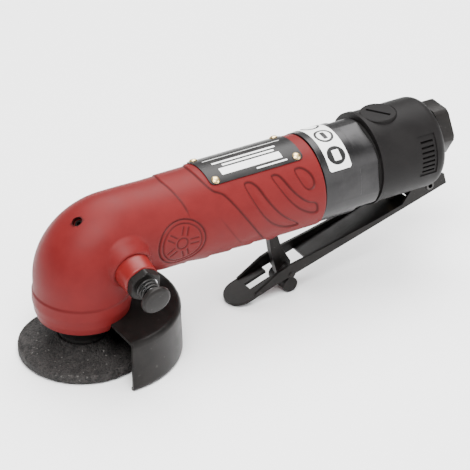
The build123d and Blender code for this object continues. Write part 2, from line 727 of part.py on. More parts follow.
def all_parts():
    """Every part by name."""
    rotor_sets = rotor_bearings()
    spindle_sets = spindle_bearings()
    return {
        "head_housing": make_head_housing(),
        "rubber_cover": make_rubber_cover(),
        "oil_plug": make_oil_plug(),
        "guard": make_guard(),
        "guard_screws": group(GUARD_SCREWS),
        "bearing_cap": make_bearing_cap(),
        "spindle_seal": z_ring(9.5, 6.6 + RUN, -0.4, 2.6),
        "spindle_bearing_spacer": z_ring(11, 9.2, 11, 15),
        "spindle_bearing_outer_races": group(s[0] for s in spindle_sets),
        "spindle_bearing_inner_races": group(s[1] for s in spindle_sets),
        "spindle_bearing_balls": group(b for s in spindle_sets for b in s[2]),
        "spindle": make_spindle(),
        "spindle_sleeve": z_ring(6.4, 5, 11, 15),
        "spindle_key": spindle_key(),
        "bevel_gear": make_bevel_gear(),
        "gear_nut": make_gear_nut(),
        "inner_flange": make_inner_flange(),
        "grinding_wheel": make_wheel(),
        "flange_nut": make_flange_nut(),
        "lock_guide": make_lock_guide(),
        "lock_nut": make_lock_nut(),
        "lock_pin": make_lock_pin(),
        "lock_button": make_lock_button(),
        "lock_spring": make_lock_spring(),
        "motor_housing": make_motor_housing(),
        "pinion_retainer": x_ring(14, 6, 27, 30),
        "front_end_plate": make_front_end_plate(),
        "rear_end_plate": make_rear_end_plate(),
        "cylinder_liner": make_cylinder_liner(),
        "liner_dowel": DOWEL,
        "motor_clamp_ring": x_ring(MOTOR_BORE_R, 8, CLAMP_X, CLAMP_X + 4),
        "rotor": make_rotor(),
        "rotor_vanes": make_rotor_vanes(),
        "bevel_pinion": make_bevel_pinion(),
        "pinion_spacer": x_ring(5.2, 3.5, 17.6, 21),
        "rotor_bearing_outer_races": group(s[0] for s in rotor_sets),
        "rotor_bearing_inner_races": group(s[1] for s in rotor_sets),
        "rotor_bearing_balls": group(b for s in rotor_sets for b in s[2]),
        "housing_gasket": x_ring(20.4, MOTOR_BORE_R, BAND_END, HOUSING_X),
        "rear_housing": make_rear_housing(),
        "exhaust_grille": make_exhaust_grille(),
        "exhaust_muffler": make_exhaust_muffler(),
        "valve_seat": make_valve_seat(),
        "valve_guide": make_valve_guide(),
        "stem_seal": make_stem_seal(),
        "valve_stem": make_valve_stem(),
        "valve_poppet": make_valve_poppet(),
        "valve_spring": make_valve_spring(),
        "regulator": make_regulator(),
        "regulator_seal": make_regulator_seal(),
        "inlet_bushing": make_inlet_bushing(),
        "inlet_washer": x_ring(10.4, SHANK_R, HOUSING_END, HOUSING_END + 0.8, z=INLET_Z),
        "inlet_screen": make_inlet_screen(),
        "throttle_lever": make_throttle_lever(),
        "lever_pin": make_lever_pin(),
        "lock_lever": make_lock_lever(),
        "lock_lever_pin": make_lock_lever_pin(),
        "nameplate": make_nameplate(),
        "nameplate_screws": group(PLATE_SCREWS),
        "band_label": make_band_label(),
    }


os.makedirs("parts", exist_ok=True)
for name, shape in all_parts().items():
    export_step(Pos(-ORIGIN_X, -ORIGIN_Y, -FLOOR_Z) * shape, f"parts/{name}.step")
print(f"origin shift {ORIGIN_X:.3f} {ORIGIN_Y:.3f} {FLOOR_Z:.3f}")
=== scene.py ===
"""Visual model of a pneumatic angle grinder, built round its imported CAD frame.

Sizes in the classes are millimetres in the maker's working frame: the wheel spindle is the
Z axis, the head's rim is z = 0 and the handle runs along +X. Workshop turns them into the
model's own metres.
"""
from __future__ import annotations

import logging
import math
from collections.abc import Iterable, Sequence
from dataclasses import dataclass, field
from enum import Enum
from typing import Any

import bmesh
import bpy
import numpy as np
from mathutils import Matrix, Vector


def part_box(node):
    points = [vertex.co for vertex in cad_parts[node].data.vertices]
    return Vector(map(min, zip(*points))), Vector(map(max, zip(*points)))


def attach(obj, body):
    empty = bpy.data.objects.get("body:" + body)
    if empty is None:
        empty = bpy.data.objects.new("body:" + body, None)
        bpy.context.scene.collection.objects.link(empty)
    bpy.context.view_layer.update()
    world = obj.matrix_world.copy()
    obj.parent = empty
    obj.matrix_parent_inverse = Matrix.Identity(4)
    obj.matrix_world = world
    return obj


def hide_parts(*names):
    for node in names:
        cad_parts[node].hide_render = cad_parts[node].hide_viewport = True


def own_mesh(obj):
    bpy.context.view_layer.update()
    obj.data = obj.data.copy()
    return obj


LOG = logging.getLogger("grinder")
Array = np.ndarray
Colour = tuple[float, float, float]
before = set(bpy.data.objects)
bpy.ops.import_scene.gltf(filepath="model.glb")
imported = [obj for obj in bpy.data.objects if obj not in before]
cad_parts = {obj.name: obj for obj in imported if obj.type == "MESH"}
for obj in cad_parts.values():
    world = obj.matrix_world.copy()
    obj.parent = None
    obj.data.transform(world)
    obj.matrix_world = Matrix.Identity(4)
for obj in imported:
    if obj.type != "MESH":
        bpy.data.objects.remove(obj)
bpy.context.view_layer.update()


# ------------------------------------------------------------------ numbers and outlines
def smooth(low: float, high: float, value: Array) -> Array:
    """Cubic step, 3t^2 - 2t^3, from 0 at low to 1 at high.

    Args:
        low: value where the step starts.
        high: value where the step ends.
        value: values to step.

    Returns:
        Steps of the same shape as value.
    """
    t = np.clip((value - low) / (high - low), 0.0, 1.0)
    return t * t * (3.0 - 2.0 * t)


def rounded_outline(points: Sequence[Sequence[float]], rounds: int = 3) -> Array:
    """Closed outline with its corners cut again and again at a quarter of each side.

    Args:
        points: corners of the outline.
        rounds: how many times the corners are cut.

    Returns:
        Rounded outline as rows of two.
    """
    outline = np.asarray(points, float)
    for _ in range(rounds):
        ahead = np.roll(outline, -1, axis=0)
        outline = np.stack([outline * 0.75 + ahead * 0.25, outline * 0.25 + ahead * 0.75], 1)
        outline = outline.reshape(-1, 2)
    return outline


def outline_distance(outline: Array, u: Array, v: Array) -> Array:
    """Signed distance to a closed outline, negative inside.

    The distance is the least of the distances to the sides, and its sign comes from how often
    a ray along +u crosses the sides.

    Args:
        outline: corners as rows of two.
        u: first coordinate of the points.
        v: second coordinate of the points.

    Returns:
        Distances of the same shape as u.
    """
    best = np.full(u.shape, 1e9)
    inside = np.zeros(u.shape, bool)
    for (u0, v0), (u1, v1) in zip(outline, np.roll(outline, -1, axis=0)):
        du, dv = u1 - u0, v1 - v0
        t = np.clip(((u - u0) * du + (v - v0) * dv) / (du * du + dv * dv), 0.0, 1.0)
        best = np.minimum(best, np.hypot(u - u0 - t * du, v - v0 - t * dv))
        if dv:
            crossed = (v0 > v) != (v1 > v)
            inside ^= crossed & (u < u0 + (v - v0) / dv * du)
    return np.where(inside, -best, best)


def rounded_profile(points: Sequence[Sequence[float]], radius: float, steps: int = 4) -> Array:
    """Open profile whose inner corners become short parabolic arcs.

    Args:
        points: corners of the profile.
        radius: how far each arc starts from its corner.
        steps: pieces in each arc.

    Returns:
        Profile as rows of two.
    """
    corners = np.asarray(points, float)
    rows = [corners[:1]]
    t = np.linspace(0.0, 1.0, steps + 1)[:, None]
    for before, corner, after in zip(corners, corners[1:], corners[2:]):
        back, ahead = before - corner, after - corner
        reach = min(radius, 0.45 * np.linalg.norm(back), 0.45 * np.linalg.norm(ahead))
        start = corner + back / np.linalg.norm(back) * reach
        end = corner + ahead / np.linalg.norm(ahead) * reach
        rows.append((1 - t) ** 2 * start + 2 * t * (1 - t) * corner + t ** 2 * end)
    return np.vstack([*rows, corners[-1:]])


def grid_faces(rows: int, columns: int, wrap_rows: bool = False,
               wrap_columns: bool = True) -> Array:
    """Quads between neighbouring points of a grid.

    Args:
        rows: points along the first parameter.
        columns: points along the second parameter.
        wrap_rows: whether the last row meets the first.
        wrap_columns: whether the last column meets the first.

    Returns:
        Corner indices, four to a row.
    """
    index = np.arange(rows * columns).reshape(rows, columns)
    if wrap_rows:
        index = np.vstack([index, index[:1]])
    if wrap_columns:
        index = np.hstack([index, index[:, :1]])
    corners = [index[:-1, :-1], index[:-1, 1:], index[1:, 1:], index[1:, :-1]]
    return np.stack(corners, -1).reshape(-1, 4)


def enclosed_volume(points: Array, faces: Array) -> float:
    """Volume by the divergence theorem: the sum of a . (b x c) / 6 over the triangles."""
    a, b, c, d = (points[faces[:, i]] for i in range(4))
    return float((np.cross(b, c) * a).sum() + (np.cross(c, d) * a).sum()) / 6.0


@dataclass(frozen=True)
class Axis:
    """A line with a direction, and two directions square to it."""

    origin: tuple[float, float, float]
    along: tuple[float, float, float]
    side: tuple[float, float, float]

    def place(self, across: Array, up: Array, along: Array) -> Array:
        """Points at the given distances along side, side x along and the axis itself."""
        axis = np.asarray(self.along, float)
        side = np.asarray(self.side, float)
        third = np.cross(axis, side)
        origin = np.asarray(self.origin, float)
        return (origin + across[..., None] * side + up[..., None] * third
                + along[..., None] * axis)

    def distance(self, points: Array) -> tuple[Array, Array]:
        """Distances of points square to the axis and along it."""
        offset = points - np.asarray(self.origin, float)
        along = offset @ np.asarray(self.along, float)
        square = np.sqrt(np.maximum((offset ** 2).sum(-1) - along ** 2, 0.0))
        return square, along


# ------------------------------------------------------------------ shader expressions
class Value:
    """A shader socket whose operators add Math nodes."""

    def __init__(self, shader: Shader, socket: Any) -> None:
        """Keeps the socket and the shader that it belongs to."""
        self.shader = shader
        self.socket = socket

    def __add__(self, other: Value | float) -> Value:
        """Sum."""
        return self.shader.math("ADD", self, other)

    def __sub__(self, other: Value | float) -> Value:
        """Difference."""
        return self.shader.math("SUBTRACT", self, other)

    def __rsub__(self, other: float) -> Value:
        """Difference from a number."""
        return self.shader.math("SUBTRACT", other, self)

    def __mul__(self, other: Value | float) -> Value:
        """Product."""
        return self.shader.math("MULTIPLY", self, other)

    __radd__ = __add__
    __rmul__ = __mul__

    def step(self, low: float, high: float, start: float = 0.0, end: float = 1.0) -> Value:
        """Smooth step from start, at low, to end, at high."""
        node = self.shader.node("ShaderNodeMapRange", {"interpolation_type": "SMOOTHSTEP"},
                                {"Value": self, "From Min": low, "From Max": high,
                                 "To Min": start, "To Max": end})
        return Value(self.shader, node.outputs["Result"])


class Shader:
    """A material under construction."""

    def __init__(self, name: str) -> None:
        """Starts a material with one Principled shader."""
        self.material = bpy.data.materials.new(name)
        self.material.use_nodes = True
        self.tree = self.material.node_tree
        self.tree.nodes.clear()
        self.principled = self.node("ShaderNodeBsdfPrincipled")
        output = self.node("ShaderNodeOutputMaterial")
        self.tree.links.new(self.principled.outputs["BSDF"], output.inputs["Surface"])
        self.place = self.node("ShaderNodeTexCoord").outputs["Object"]

    def node(self, kind: str, settings: dict[str, Any] | None = None,
             inputs: dict[str | int, Any] | None = None) -> Any:
        """Any node, with its settings made before its sockets are filled.

        Args:
            kind: node type.
            settings: attribute values.
            inputs: values or links by socket name or number.

        Returns:
            The new node.
        """
        made = self.tree.nodes.new(kind)
        for key, value in (settings or {}).items():
            setattr(made, key, value)
        for key, value in (inputs or {}).items():
            self.feed(made.inputs[key], value)
        return made

    def feed(self, socket: Any, value: Any) -> None:
        """Links a socket, or sets its value when a plain number or tuple is given."""
        source = value.socket if isinstance(value, Value) else value
        if isinstance(source, bpy.types.NodeSocket):
            self.tree.links.new(source, socket)
        else:
            socket.default_value = source

    def math(self, operation: str, first: Value | float, second: Value | float = 0.0) -> Value:
        """One Math node."""
        made = self.node("ShaderNodeMath", {"operation": operation}, {0: first, 1: second})
        return Value(self, made.outputs[0])

    def stretched(self, scale: Sequence[float]) -> Any:
        """Object coordinates multiplied along each axis."""
        made = self.node("ShaderNodeVectorMath", {"operation": "MULTIPLY"},
                         {0: self.place, 1: tuple(scale)})
        return made.outputs[0]

    def noise(self, size_mm: float, detail: float = 3.0, vector: Any = None) -> Value:
        """Noise whose features are about size_mm across."""
        made = self.node("ShaderNodeTexNoise", None, {
            "Vector": vector or self.place, "Scale": 1000.0 / size_mm, "Detail": detail,
            "Roughness": 0.55})
        return Value(self, made.outputs[0])

    def grains(self, size_mm: float) -> tuple[Value, Value]:
        """Distance within each grain and a random number for each grain."""
        made = self.node("ShaderNodeTexVoronoi", {"feature": "F1"},
                         {"Vector": self.place, "Scale": 1000.0 / size_mm})
        parts = self.node("ShaderNodeSeparateColor", None, {"Color": made.outputs["Color"]})
        return Value(self, made.outputs["Distance"]), Value(self, parts.outputs[0])

    def cavity(self) -> Value:
        """How deep in a groove the point lies."""
        made = self.node("ShaderNodeAttribute", {"attribute_name": "cavity"})
        return Value(self, made.outputs["Fac"])

    def mix(self, share: Value, first: Any, second: Any) -> Any:
        """Colour between two colours or colour sockets."""
        made = self.node("ShaderNodeMix", {"data_type": "RGBA"})
        self.feed(made.inputs["Factor"], share)
        for socket, value in ((made.inputs[6], first), (made.inputs[7], second)):
            self.feed(socket, (*value, 1.0) if isinstance(value, tuple) else value)
        return made.outputs[2]

    def put(self, name: str, value: Any) -> None:
        """Feeds a socket of the Principled shader."""
        self.feed(self.principled.inputs[name],
                  (*value, 1.0) if isinstance(value, tuple) else value)

    def bump(self, height: Value, depth_mm: float) -> None:
        """Turns a height from 0 to 1 into surface relief of the given depth."""
        made = self.node("ShaderNodeBump", None, {
            "Strength": 1.0, "Distance": depth_mm / 1000.0, "Height": height})
        self.put("Normal", made.outputs[0])


# ------------------------------------------------------------------ finishes
@dataclass(frozen=True)
class Finish:
    """A plain moulded, cast or coated surface with mottling and a fine grain."""

    name: str
    colour: Colour
    second: Colour
    roughness: float
    metallic: float = 0.0
    mottle_mm: float = 6.0
    grain_mm: float = 0.35
    grain_depth_mm: float = 0.02
    spread: float = 0.08
    shine: float = 0.5

    def material(self) -> Any:
        """Builds the material.

        Returns:
            The finished material.
        """
        shader = Shader(self.name)
        self.dress(shader)
        return shader.material

    def apply(self, shader: Shader, colour: Any, roughness: Value, relief: Value) -> None:
        """Feeds the shader.

        Args:
            shader: the material under construction.
            colour: base colour socket.
            roughness: roughness over the surface.
            relief: height over the surface, from 0 to 1.
        """
        shader.put("Base Color", colour)
        shader.put("Metallic", self.metallic)
        shader.put("Roughness", roughness)
        shader.put("Specular IOR Level", self.shine)
        shader.bump(relief, self.grain_depth_mm)

    def spread_over(self, patches: Value) -> Value:
        """Roughness that varies by spread from patch to patch."""
        return patches * self.spread + (self.roughness - self.spread / 2)

    def dress(self, shader: Shader) -> None:
        """Mottles the colour and roughness, and raises the grain."""
        patches = shader.noise(self.mottle_mm, 4.0).step(0.3, 0.7)
        grain = shader.noise(self.grain_mm, 2.0)
        colour = shader.mix(patches * 0.75 + grain * 0.25, self.colour, self.second)
        self.apply(shader, colour, self.spread_over(patches), grain)


@dataclass(frozen=True)
class MouldedRubber(Finish):
    """Matt rubber with painted shade that darkens its moulded grooves."""

    painted_shade: Colour = (0.020, 0.0022, 0.0022)

    def dress(self, shader: Shader) -> None:
        """Mottles the rubber faintly and paints shade inside the grooves."""
        patches = shader.noise(self.mottle_mm, 4.0).step(0.3, 0.7)
        grain = shader.noise(self.grain_mm, 2.0)
        base = shader.mix(patches * 0.7 + grain * 0.3, self.colour, self.second)
        # painted shade: the groove mask mixes the rubber towards a near-black red
        colour = shader.mix(shader.cavity() * 0.95, base, self.painted_shade)
        self.apply(shader, colour, self.spread_over(patches), grain)


@dataclass(frozen=True)
class TurnedSteel(Finish):
    """Steel turned on a lathe about the handle axis: fine rings and a few light scuffs."""

    ring_mm: float = 0.5

    def dress(self, shader: Shader) -> None:
        """Stretches noise round the handle so that it makes rings."""
        rings = shader.noise(self.ring_mm, 3.0, shader.stretched((1.0, 0.02, 0.02)))
        patches = shader.noise(self.mottle_mm, 4.0).step(0.35, 0.7)
        scuffs = shader.noise(1.3, 4.0, shader.stretched((0.15, 1.0, 1.0))).step(0.62, 0.7)
        colour = shader.mix(patches * 0.6 + rings * 0.4, self.colour, self.second)
        roughness = self.spread_over(patches) + scuffs * 0.12 + (rings * 0.08 - 0.04)
        self.apply(shader, colour, roughness, rings * 0.8 + scuffs * 0.2)


@dataclass(frozen=True)
class OxideSteel(Finish):
    """Pressed steel with a black oxide coat that is a little thinner in places."""

    wear: Colour = (0.16, 0.155, 0.15)

    def dress(self, shader: Shader) -> None:
        """Mottles the oxide and lets dull steel through in sparse rubbed patches."""
        patches = shader.noise(self.mottle_mm, 5.0).step(0.3, 0.7)
        grain = shader.noise(self.grain_mm, 3.0)
        rubbed = shader.noise(2.2, 5.0).step(0.64, 0.74) * 0.35
        base = shader.mix(patches, self.colour, self.second)
        roughness = self.spread_over(patches) + (grain * 0.08 - 0.04)
        self.apply(shader, shader.mix(rubbed, base, self.wear), roughness, grain)


@dataclass(frozen=True)
class AbrasiveGrit(Finish):
    """Resin-bonded grit: dull resin, dark pits and a few bright grain faces."""

    sparkle: Colour = (0.13, 0.127, 0.12)

    def dress(self, shader: Shader) -> None:
        """Colours each grain at random and makes a few of them bright."""
        distance, number = shader.grains(self.grain_mm)
        coarse = shader.noise(self.mottle_mm, 3.0).step(0.3, 0.7)
        base = shader.mix(number * 0.7 + coarse * 0.3, self.colour, self.second)
        bright = number.step(0.97, 0.985) * shader.noise(1.6, 2.0).step(0.45, 0.62)
        self.apply(shader, shader.mix(bright, base, self.sparkle),
                   self.roughness - bright * 0.5, 1.0 - distance)


class Look(Enum):
    """The tool's finishes, and the record's slot that each belongs to."""

    RUBBER = ("red_rubber", MouldedRubber("moulded_red_rubber", (0.096, 0.0066, 0.0068),
                                          (0.112, 0.0086, 0.0086), 0.5, mottle_mm=9.0,
                                          grain_mm=0.3, grain_depth_mm=0.02, shine=0.12))
    PAINT = ("red_paint", Finish("red_paint", (0.115, 0.0055, 0.005), (0.135, 0.0075, 0.0065), 0.4,
                                 shine=0.25, mottle_mm=5.0, grain_mm=0.5, grain_depth_mm=0.02))
    OXIDE = ("black_steel", OxideSteel("black_oxide_steel", (0.0060, 0.0052, 0.0048),
                                       (0.0115, 0.0101, 0.0094), 0.42, metallic=0.3,
                                       mottle_mm=7.0, grain_depth_mm=0.012, shine=0.16,
                                       wear=(0.055, 0.052, 0.049)))
    BAND = ("band_steel", TurnedSteel("turned_band_steel", (0.022, 0.0212, 0.0218),
                                      (0.036, 0.0350, 0.0355), 0.34, metallic=0.85,
                                      mottle_mm=8.0, grain_depth_mm=0.006))
    STEEL = ("bright_steel", TurnedSteel("ground_steel", (0.5, 0.5, 0.52), (0.6, 0.6, 0.61),
                                         0.3, metallic=1.0, grain_depth_mm=0.004))
    BEARING = ("bearing_steel", Finish("bearing_steel", (0.62, 0.62, 0.64), (0.7, 0.7, 0.71),
                                       0.16, metallic=1.0, spread=0.05, grain_depth_mm=0.002))
    SPRING = ("spring_steel", Finish("spring_wire", (0.010, 0.0095, 0.009), (0.022, 0.021, 0.020),
                                     0.4, metallic=0.4, mottle_mm=2.0, grain_depth_mm=0.006,
                                     shine=0.3))
    BRASS = ("brass", Finish("satin_brass", (0.72, 0.52, 0.22), (0.82, 0.63, 0.33), 0.3,
                             metallic=1.0, mottle_mm=1.5, grain_depth_mm=0.006))
    COMPOSITE = ("composite", Finish("black_composite", (0.0066, 0.0060, 0.0060),
                                     (0.0095, 0.0087, 0.0086), 0.5, mottle_mm=10.0, grain_mm=0.4,
                                     grain_depth_mm=0.03, shine=0.08))
    SEAL = ("seal_rubber", Finish("seal_rubber", (0.015, 0.015, 0.016), (0.025, 0.025, 0.026),
                                  0.6))
    GASKET = ("gasket", Finish("fibre_gasket", (0.006, 0.0058, 0.0056), (0.011, 0.0105, 0.010),
                               0.85, mottle_mm=1.5, grain_depth_mm=0.05, shine=0.1))
    VANE = ("vane_plastic", Finish("vane_laminate", (0.3, 0.16, 0.07), (0.38, 0.22, 0.1), 0.55))
    GRIT = ("abrasive", AbrasiveGrit("abrasive_grit", (0.0040, 0.0036, 0.0035),
                                     (0.034, 0.0305, 0.029), 0.75, mottle_mm=4.0,
                                     grain_mm=0.8, grain_depth_mm=0.45, shine=0.25,
                                     sparkle=(0.10, 0.096, 0.09)))
    FELT = ("felt", Finish("muffler_felt", (0.2, 0.2, 0.19), (0.3, 0.3, 0.28), 0.9,
                           mottle_mm=1.0, grain_depth_mm=0.15))
    PLATE = ("plate_black", Finish("etched_plate", (0.010, 0.0094, 0.0092),
                                   (0.016, 0.015, 0.0148), 0.36, metallic=0.2, mottle_mm=5.0,
                                   grain_depth_mm=0.006, shine=0.2))
    FILM = ("label_white", Finish("white_film", (0.78, 0.78, 0.77), (0.84, 0.84, 0.83), 0.4,
                                  mottle_mm=12.0, grain_depth_mm=0.004))
    INK = ("plate_black", Finish("black_ink", (0.007, 0.007, 0.007), (0.011, 0.011, 0.011), 0.45,
                                 grain_depth_mm=0.003, shine=0.2))
    # painted shade: bright-steel parts darkened because they sit in shade under the head and the
    # housing
    SHADED = ("bright_steel", OxideSteel("shade_darkened_steel", (0.010, 0.0095, 0.009),
                                         (0.018, 0.017, 0.016), 0.5, metallic=0.3,
                                         mottle_mm=5.0, shine=0.2))
    ROLL_PIN = ("bright_steel", TurnedSteel("rolled_pin_steel", (0.045, 0.044, 0.043),
                                            (0.075, 0.073, 0.071), 0.35, metallic=1.0,
                                            grain_depth_mm=0.004))

    def __init__(self, slot: str, finish: Finish) -> None:
        """Keeps the slot and the finish side by side."""
        self.slot = slot
        self.finish = finish


# ------------------------------------------------------------------ pieces
class Workshop:
    """Turns working-frame grids into pieces that ride on the tool's bodies."""

    def __init__(self) -> None:
        """Finds the working frame's place from the wheel, and makes the materials."""
        low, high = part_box("grinding_wheel")
        self.offset = np.array([(low.x + high.x) / 2, (low.y + high.y) / 2, low.z + 0.0198])
        self.materials = {look: look.finish.material() for look in Look}

    def settle(self, piece: Any, look: Look, body: str, replaces: Iterable[str] = ()) -> Any:
        """Gives a piece its material and body.

        Args:
            piece: the finished object.
            look: its finish.
            body: the body that it rides on.
            replaces: CAD nodes that it stands for.

        Returns:
            The same object.
        """
        piece.data.materials.clear()
        piece.data.materials.append(self.materials[look])
        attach(piece, body)
        nodes = list(replaces)
        if nodes:
            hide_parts(*nodes)
        LOG.info("%s: %d faces on %s", piece.name, len(piece.data.polygons), body)
        return piece

    def shape(self, name: str, points: Array, faces: Array, sharp: float = 40.0,
              cavity: Array | None = None) -> Any:
        """Object from closed working-frame points, welded at its poles and facing outwards.

        Args:
            name: piece name.
            points: rows of three, in millimetres.
            faces: rows of four indices.
            sharp: angle in degrees past which an edge is shaded sharp.
            cavity: how deep in a groove each point lies, from 0 to 1.

        Returns:
            The new object.
        """
        rows = points.reshape(-1, 3)
        if enclosed_volume(rows, faces) < 0:
            faces = faces[:, ::-1]
        mesh = bpy.data.meshes.new(name)
        mesh.from_pydata((rows / 1000.0 + self.offset).tolist(), [], faces.tolist())
        if cavity is not None:
            mesh.attributes.new("cavity", "FLOAT", "POINT").data.foreach_set(
                "value", cavity.reshape(-1).astype(np.float32))
        work = bmesh.new()
        work.from_mesh(mesh)
        bmesh.ops.remove_doubles(work, verts=work.verts, dist=2e-7)
        work.to_mesh(mesh)
        work.free()
        mesh.shade_smooth()
        mesh.set_sharp_from_angle(angle=math.radians(sharp))
        piece = bpy.data.objects.new(name, mesh)
        bpy.context.scene.collection.objects.link(piece)
        return piece

    def turned(self, name: str, profile: Array, axis: Axis, columns: int = 96,
               cavity: float = 0.0) -> Any:
        """Closed solid of revolution: each profile point (r, h) goes round the axis.

        A profile that starts and ends on the axis is closed there already.

        Args:
            name: piece name.
            profile: rows of radius and height, closed from last to first.
            axis: axis of revolution.
            columns: points round the axis.
            cavity: how deep in a groove the whole solid counts as lying.

        Returns:
            The new object.
        """
        turn = np.linspace(0.0, 2 * np.pi, columns, endpoint=False)
        radius, height = profile[:, :1], profile[:, 1:]
        points = axis.place(radius * np.cos(turn), radius * np.sin(turn),
                            height + 0.0 * turn)
        ring = bool(profile[0, 0] > 0 or profile[-1, 0] > 0)
        return self.shape(name, points, grid_faces(len(profile), columns, wrap_rows=ring),
                          cavity=np.full(points.shape[:2], cavity))

    def softened(self, node: str, width_mm: float, segments: int = 2, flat: float = 0.6) -> Any:
        """Copy of a CAD node with its loose triangles merged and its edges rounded.

        Args:
            node: CAD node name.
            width_mm: width of the rounding.
            segments: facets across the rounding.
            flat: angle in degrees below which neighbouring facets become one face.

        Returns:
            The new object.
        """
        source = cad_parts[node].data
        points = np.zeros(len(source.vertices) * 3)
        source.vertices.foreach_get("co", points)
        mesh = bpy.data.meshes.new(f"{node}_finished")
        mesh.from_pydata(points.reshape(-1, 3).tolist(), [],
                         [list(p.vertices) for p in source.polygons])
        work = bmesh.new()
        work.from_mesh(mesh)
        bmesh.ops.remove_doubles(work, verts=work.verts, dist=3e-6)
        bmesh.ops.dissolve_limit(work, angle_limit=math.radians(flat), verts=work.verts,
                                 edges=work.edges)
        work.to_mesh(mesh)
        work.free()
        mesh.shade_smooth()
        piece = bpy.data.objects.new(f"{node}_finished", mesh)
        bpy.context.scene.collection.objects.link(piece)
        bevel = piece.modifiers.new("edge", "BEVEL")
        bevel.width = width_mm / 1000.0
        bevel.segments = segments
        bevel.limit_method = "ANGLE"
        bevel.angle_limit = math.radians(35)
        bevel.harden_normals = True
        bevel.miter_outer = "MITER_ARC"
        return piece

    def cut(self, piece: Any, tools: Sequence[Any]) -> None:
        """Cuts closed tools out of a piece and removes the tools.

        Args:
            piece: the piece to cut.
            tools: closed objects.
        """
        for tool in tools:
            cutter = piece.modifiers.new("cut", "BOOLEAN")
            cutter.operation = "DIFFERENCE"
            cutter.solver = "EXACT"
            cutter.object = tool
        graph = bpy.context.evaluated_depsgraph_get()
        mesh = bpy.data.meshes.new_from_object(piece.evaluated_get(graph))
        piece.modifiers.clear()
        piece.data = mesh
        mesh.shade_smooth()
        mesh.set_sharp_from_angle(angle=math.radians(40))
        for tool in tools:
            bpy.data.objects.remove(tool)

    def paint(self, looks: dict[Look, Sequence[str]]) -> None:
        """Gives CAD nodes that stay as they are their finishes.

        Args:
            looks: node names for each finish.
        """
        for look, nodes in looks.items():
            for name in nodes:
                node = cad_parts[name]
                node.data.materials.clear()
                node.data.materials.append(self.materials[look])


def coil_points(axis: Axis, base: float, top: float, wire: float, start: float, rise: float,
                turns: float, rows: int = 200, columns: int = 12) -> Array:
    """Wire along a helix: its centre turns about the axis as it climbs, at a radius that goes
    evenly from base to top, and the wire closes to a point at both ends.

    Args:
        axis: axis of the coil.
        base: radius of the wire's centre at the start.
        top: radius of the wire's centre at the end.
        wire: radius of the wire.
        start: height of the wire's centre at the start.
        rise: climb of the wire's centre, in the direction of its sign.
        turns: number of turns.
        rows: points along the wire.
        columns: points round the wire.

    Returns:
        Points of shape rows by columns by three.
    """
    share = np.linspace(0.0, 1.0, rows)[:, None]
    turn = share * turns * 2 * np.pi
    section = np.linspace(0.0, 2 * np.pi, columns, endpoint=False)[None, :]
    thick = wire * np.sqrt(np.clip(1 - (2 * share - 1) ** 160, 0.0, 1.0))
    radius = base + (top - base) * share + thick * np.cos(section)
    height = start + rise * share + thick * np.sin(section)
    return axis.place(radius * np.cos(turn), radius * np.sin(turn), height)


HANDLE_HEIGHT = 34.4
LOCK_TILT = math.radians(12.0)
LOCK_AXIS = Axis((12.9, 0.0, HANDLE_HEIGHT), (0.0, -math.cos(LOCK_TILT), -math.sin(LOCK_TILT)),
                 (1.0, 0.0, 0.0))
SPINDLE_AXIS = Axis((0.0, 0.0, 0.0), (0.0, 0.0, 1.0), (1.0, 0.0, 0.0))


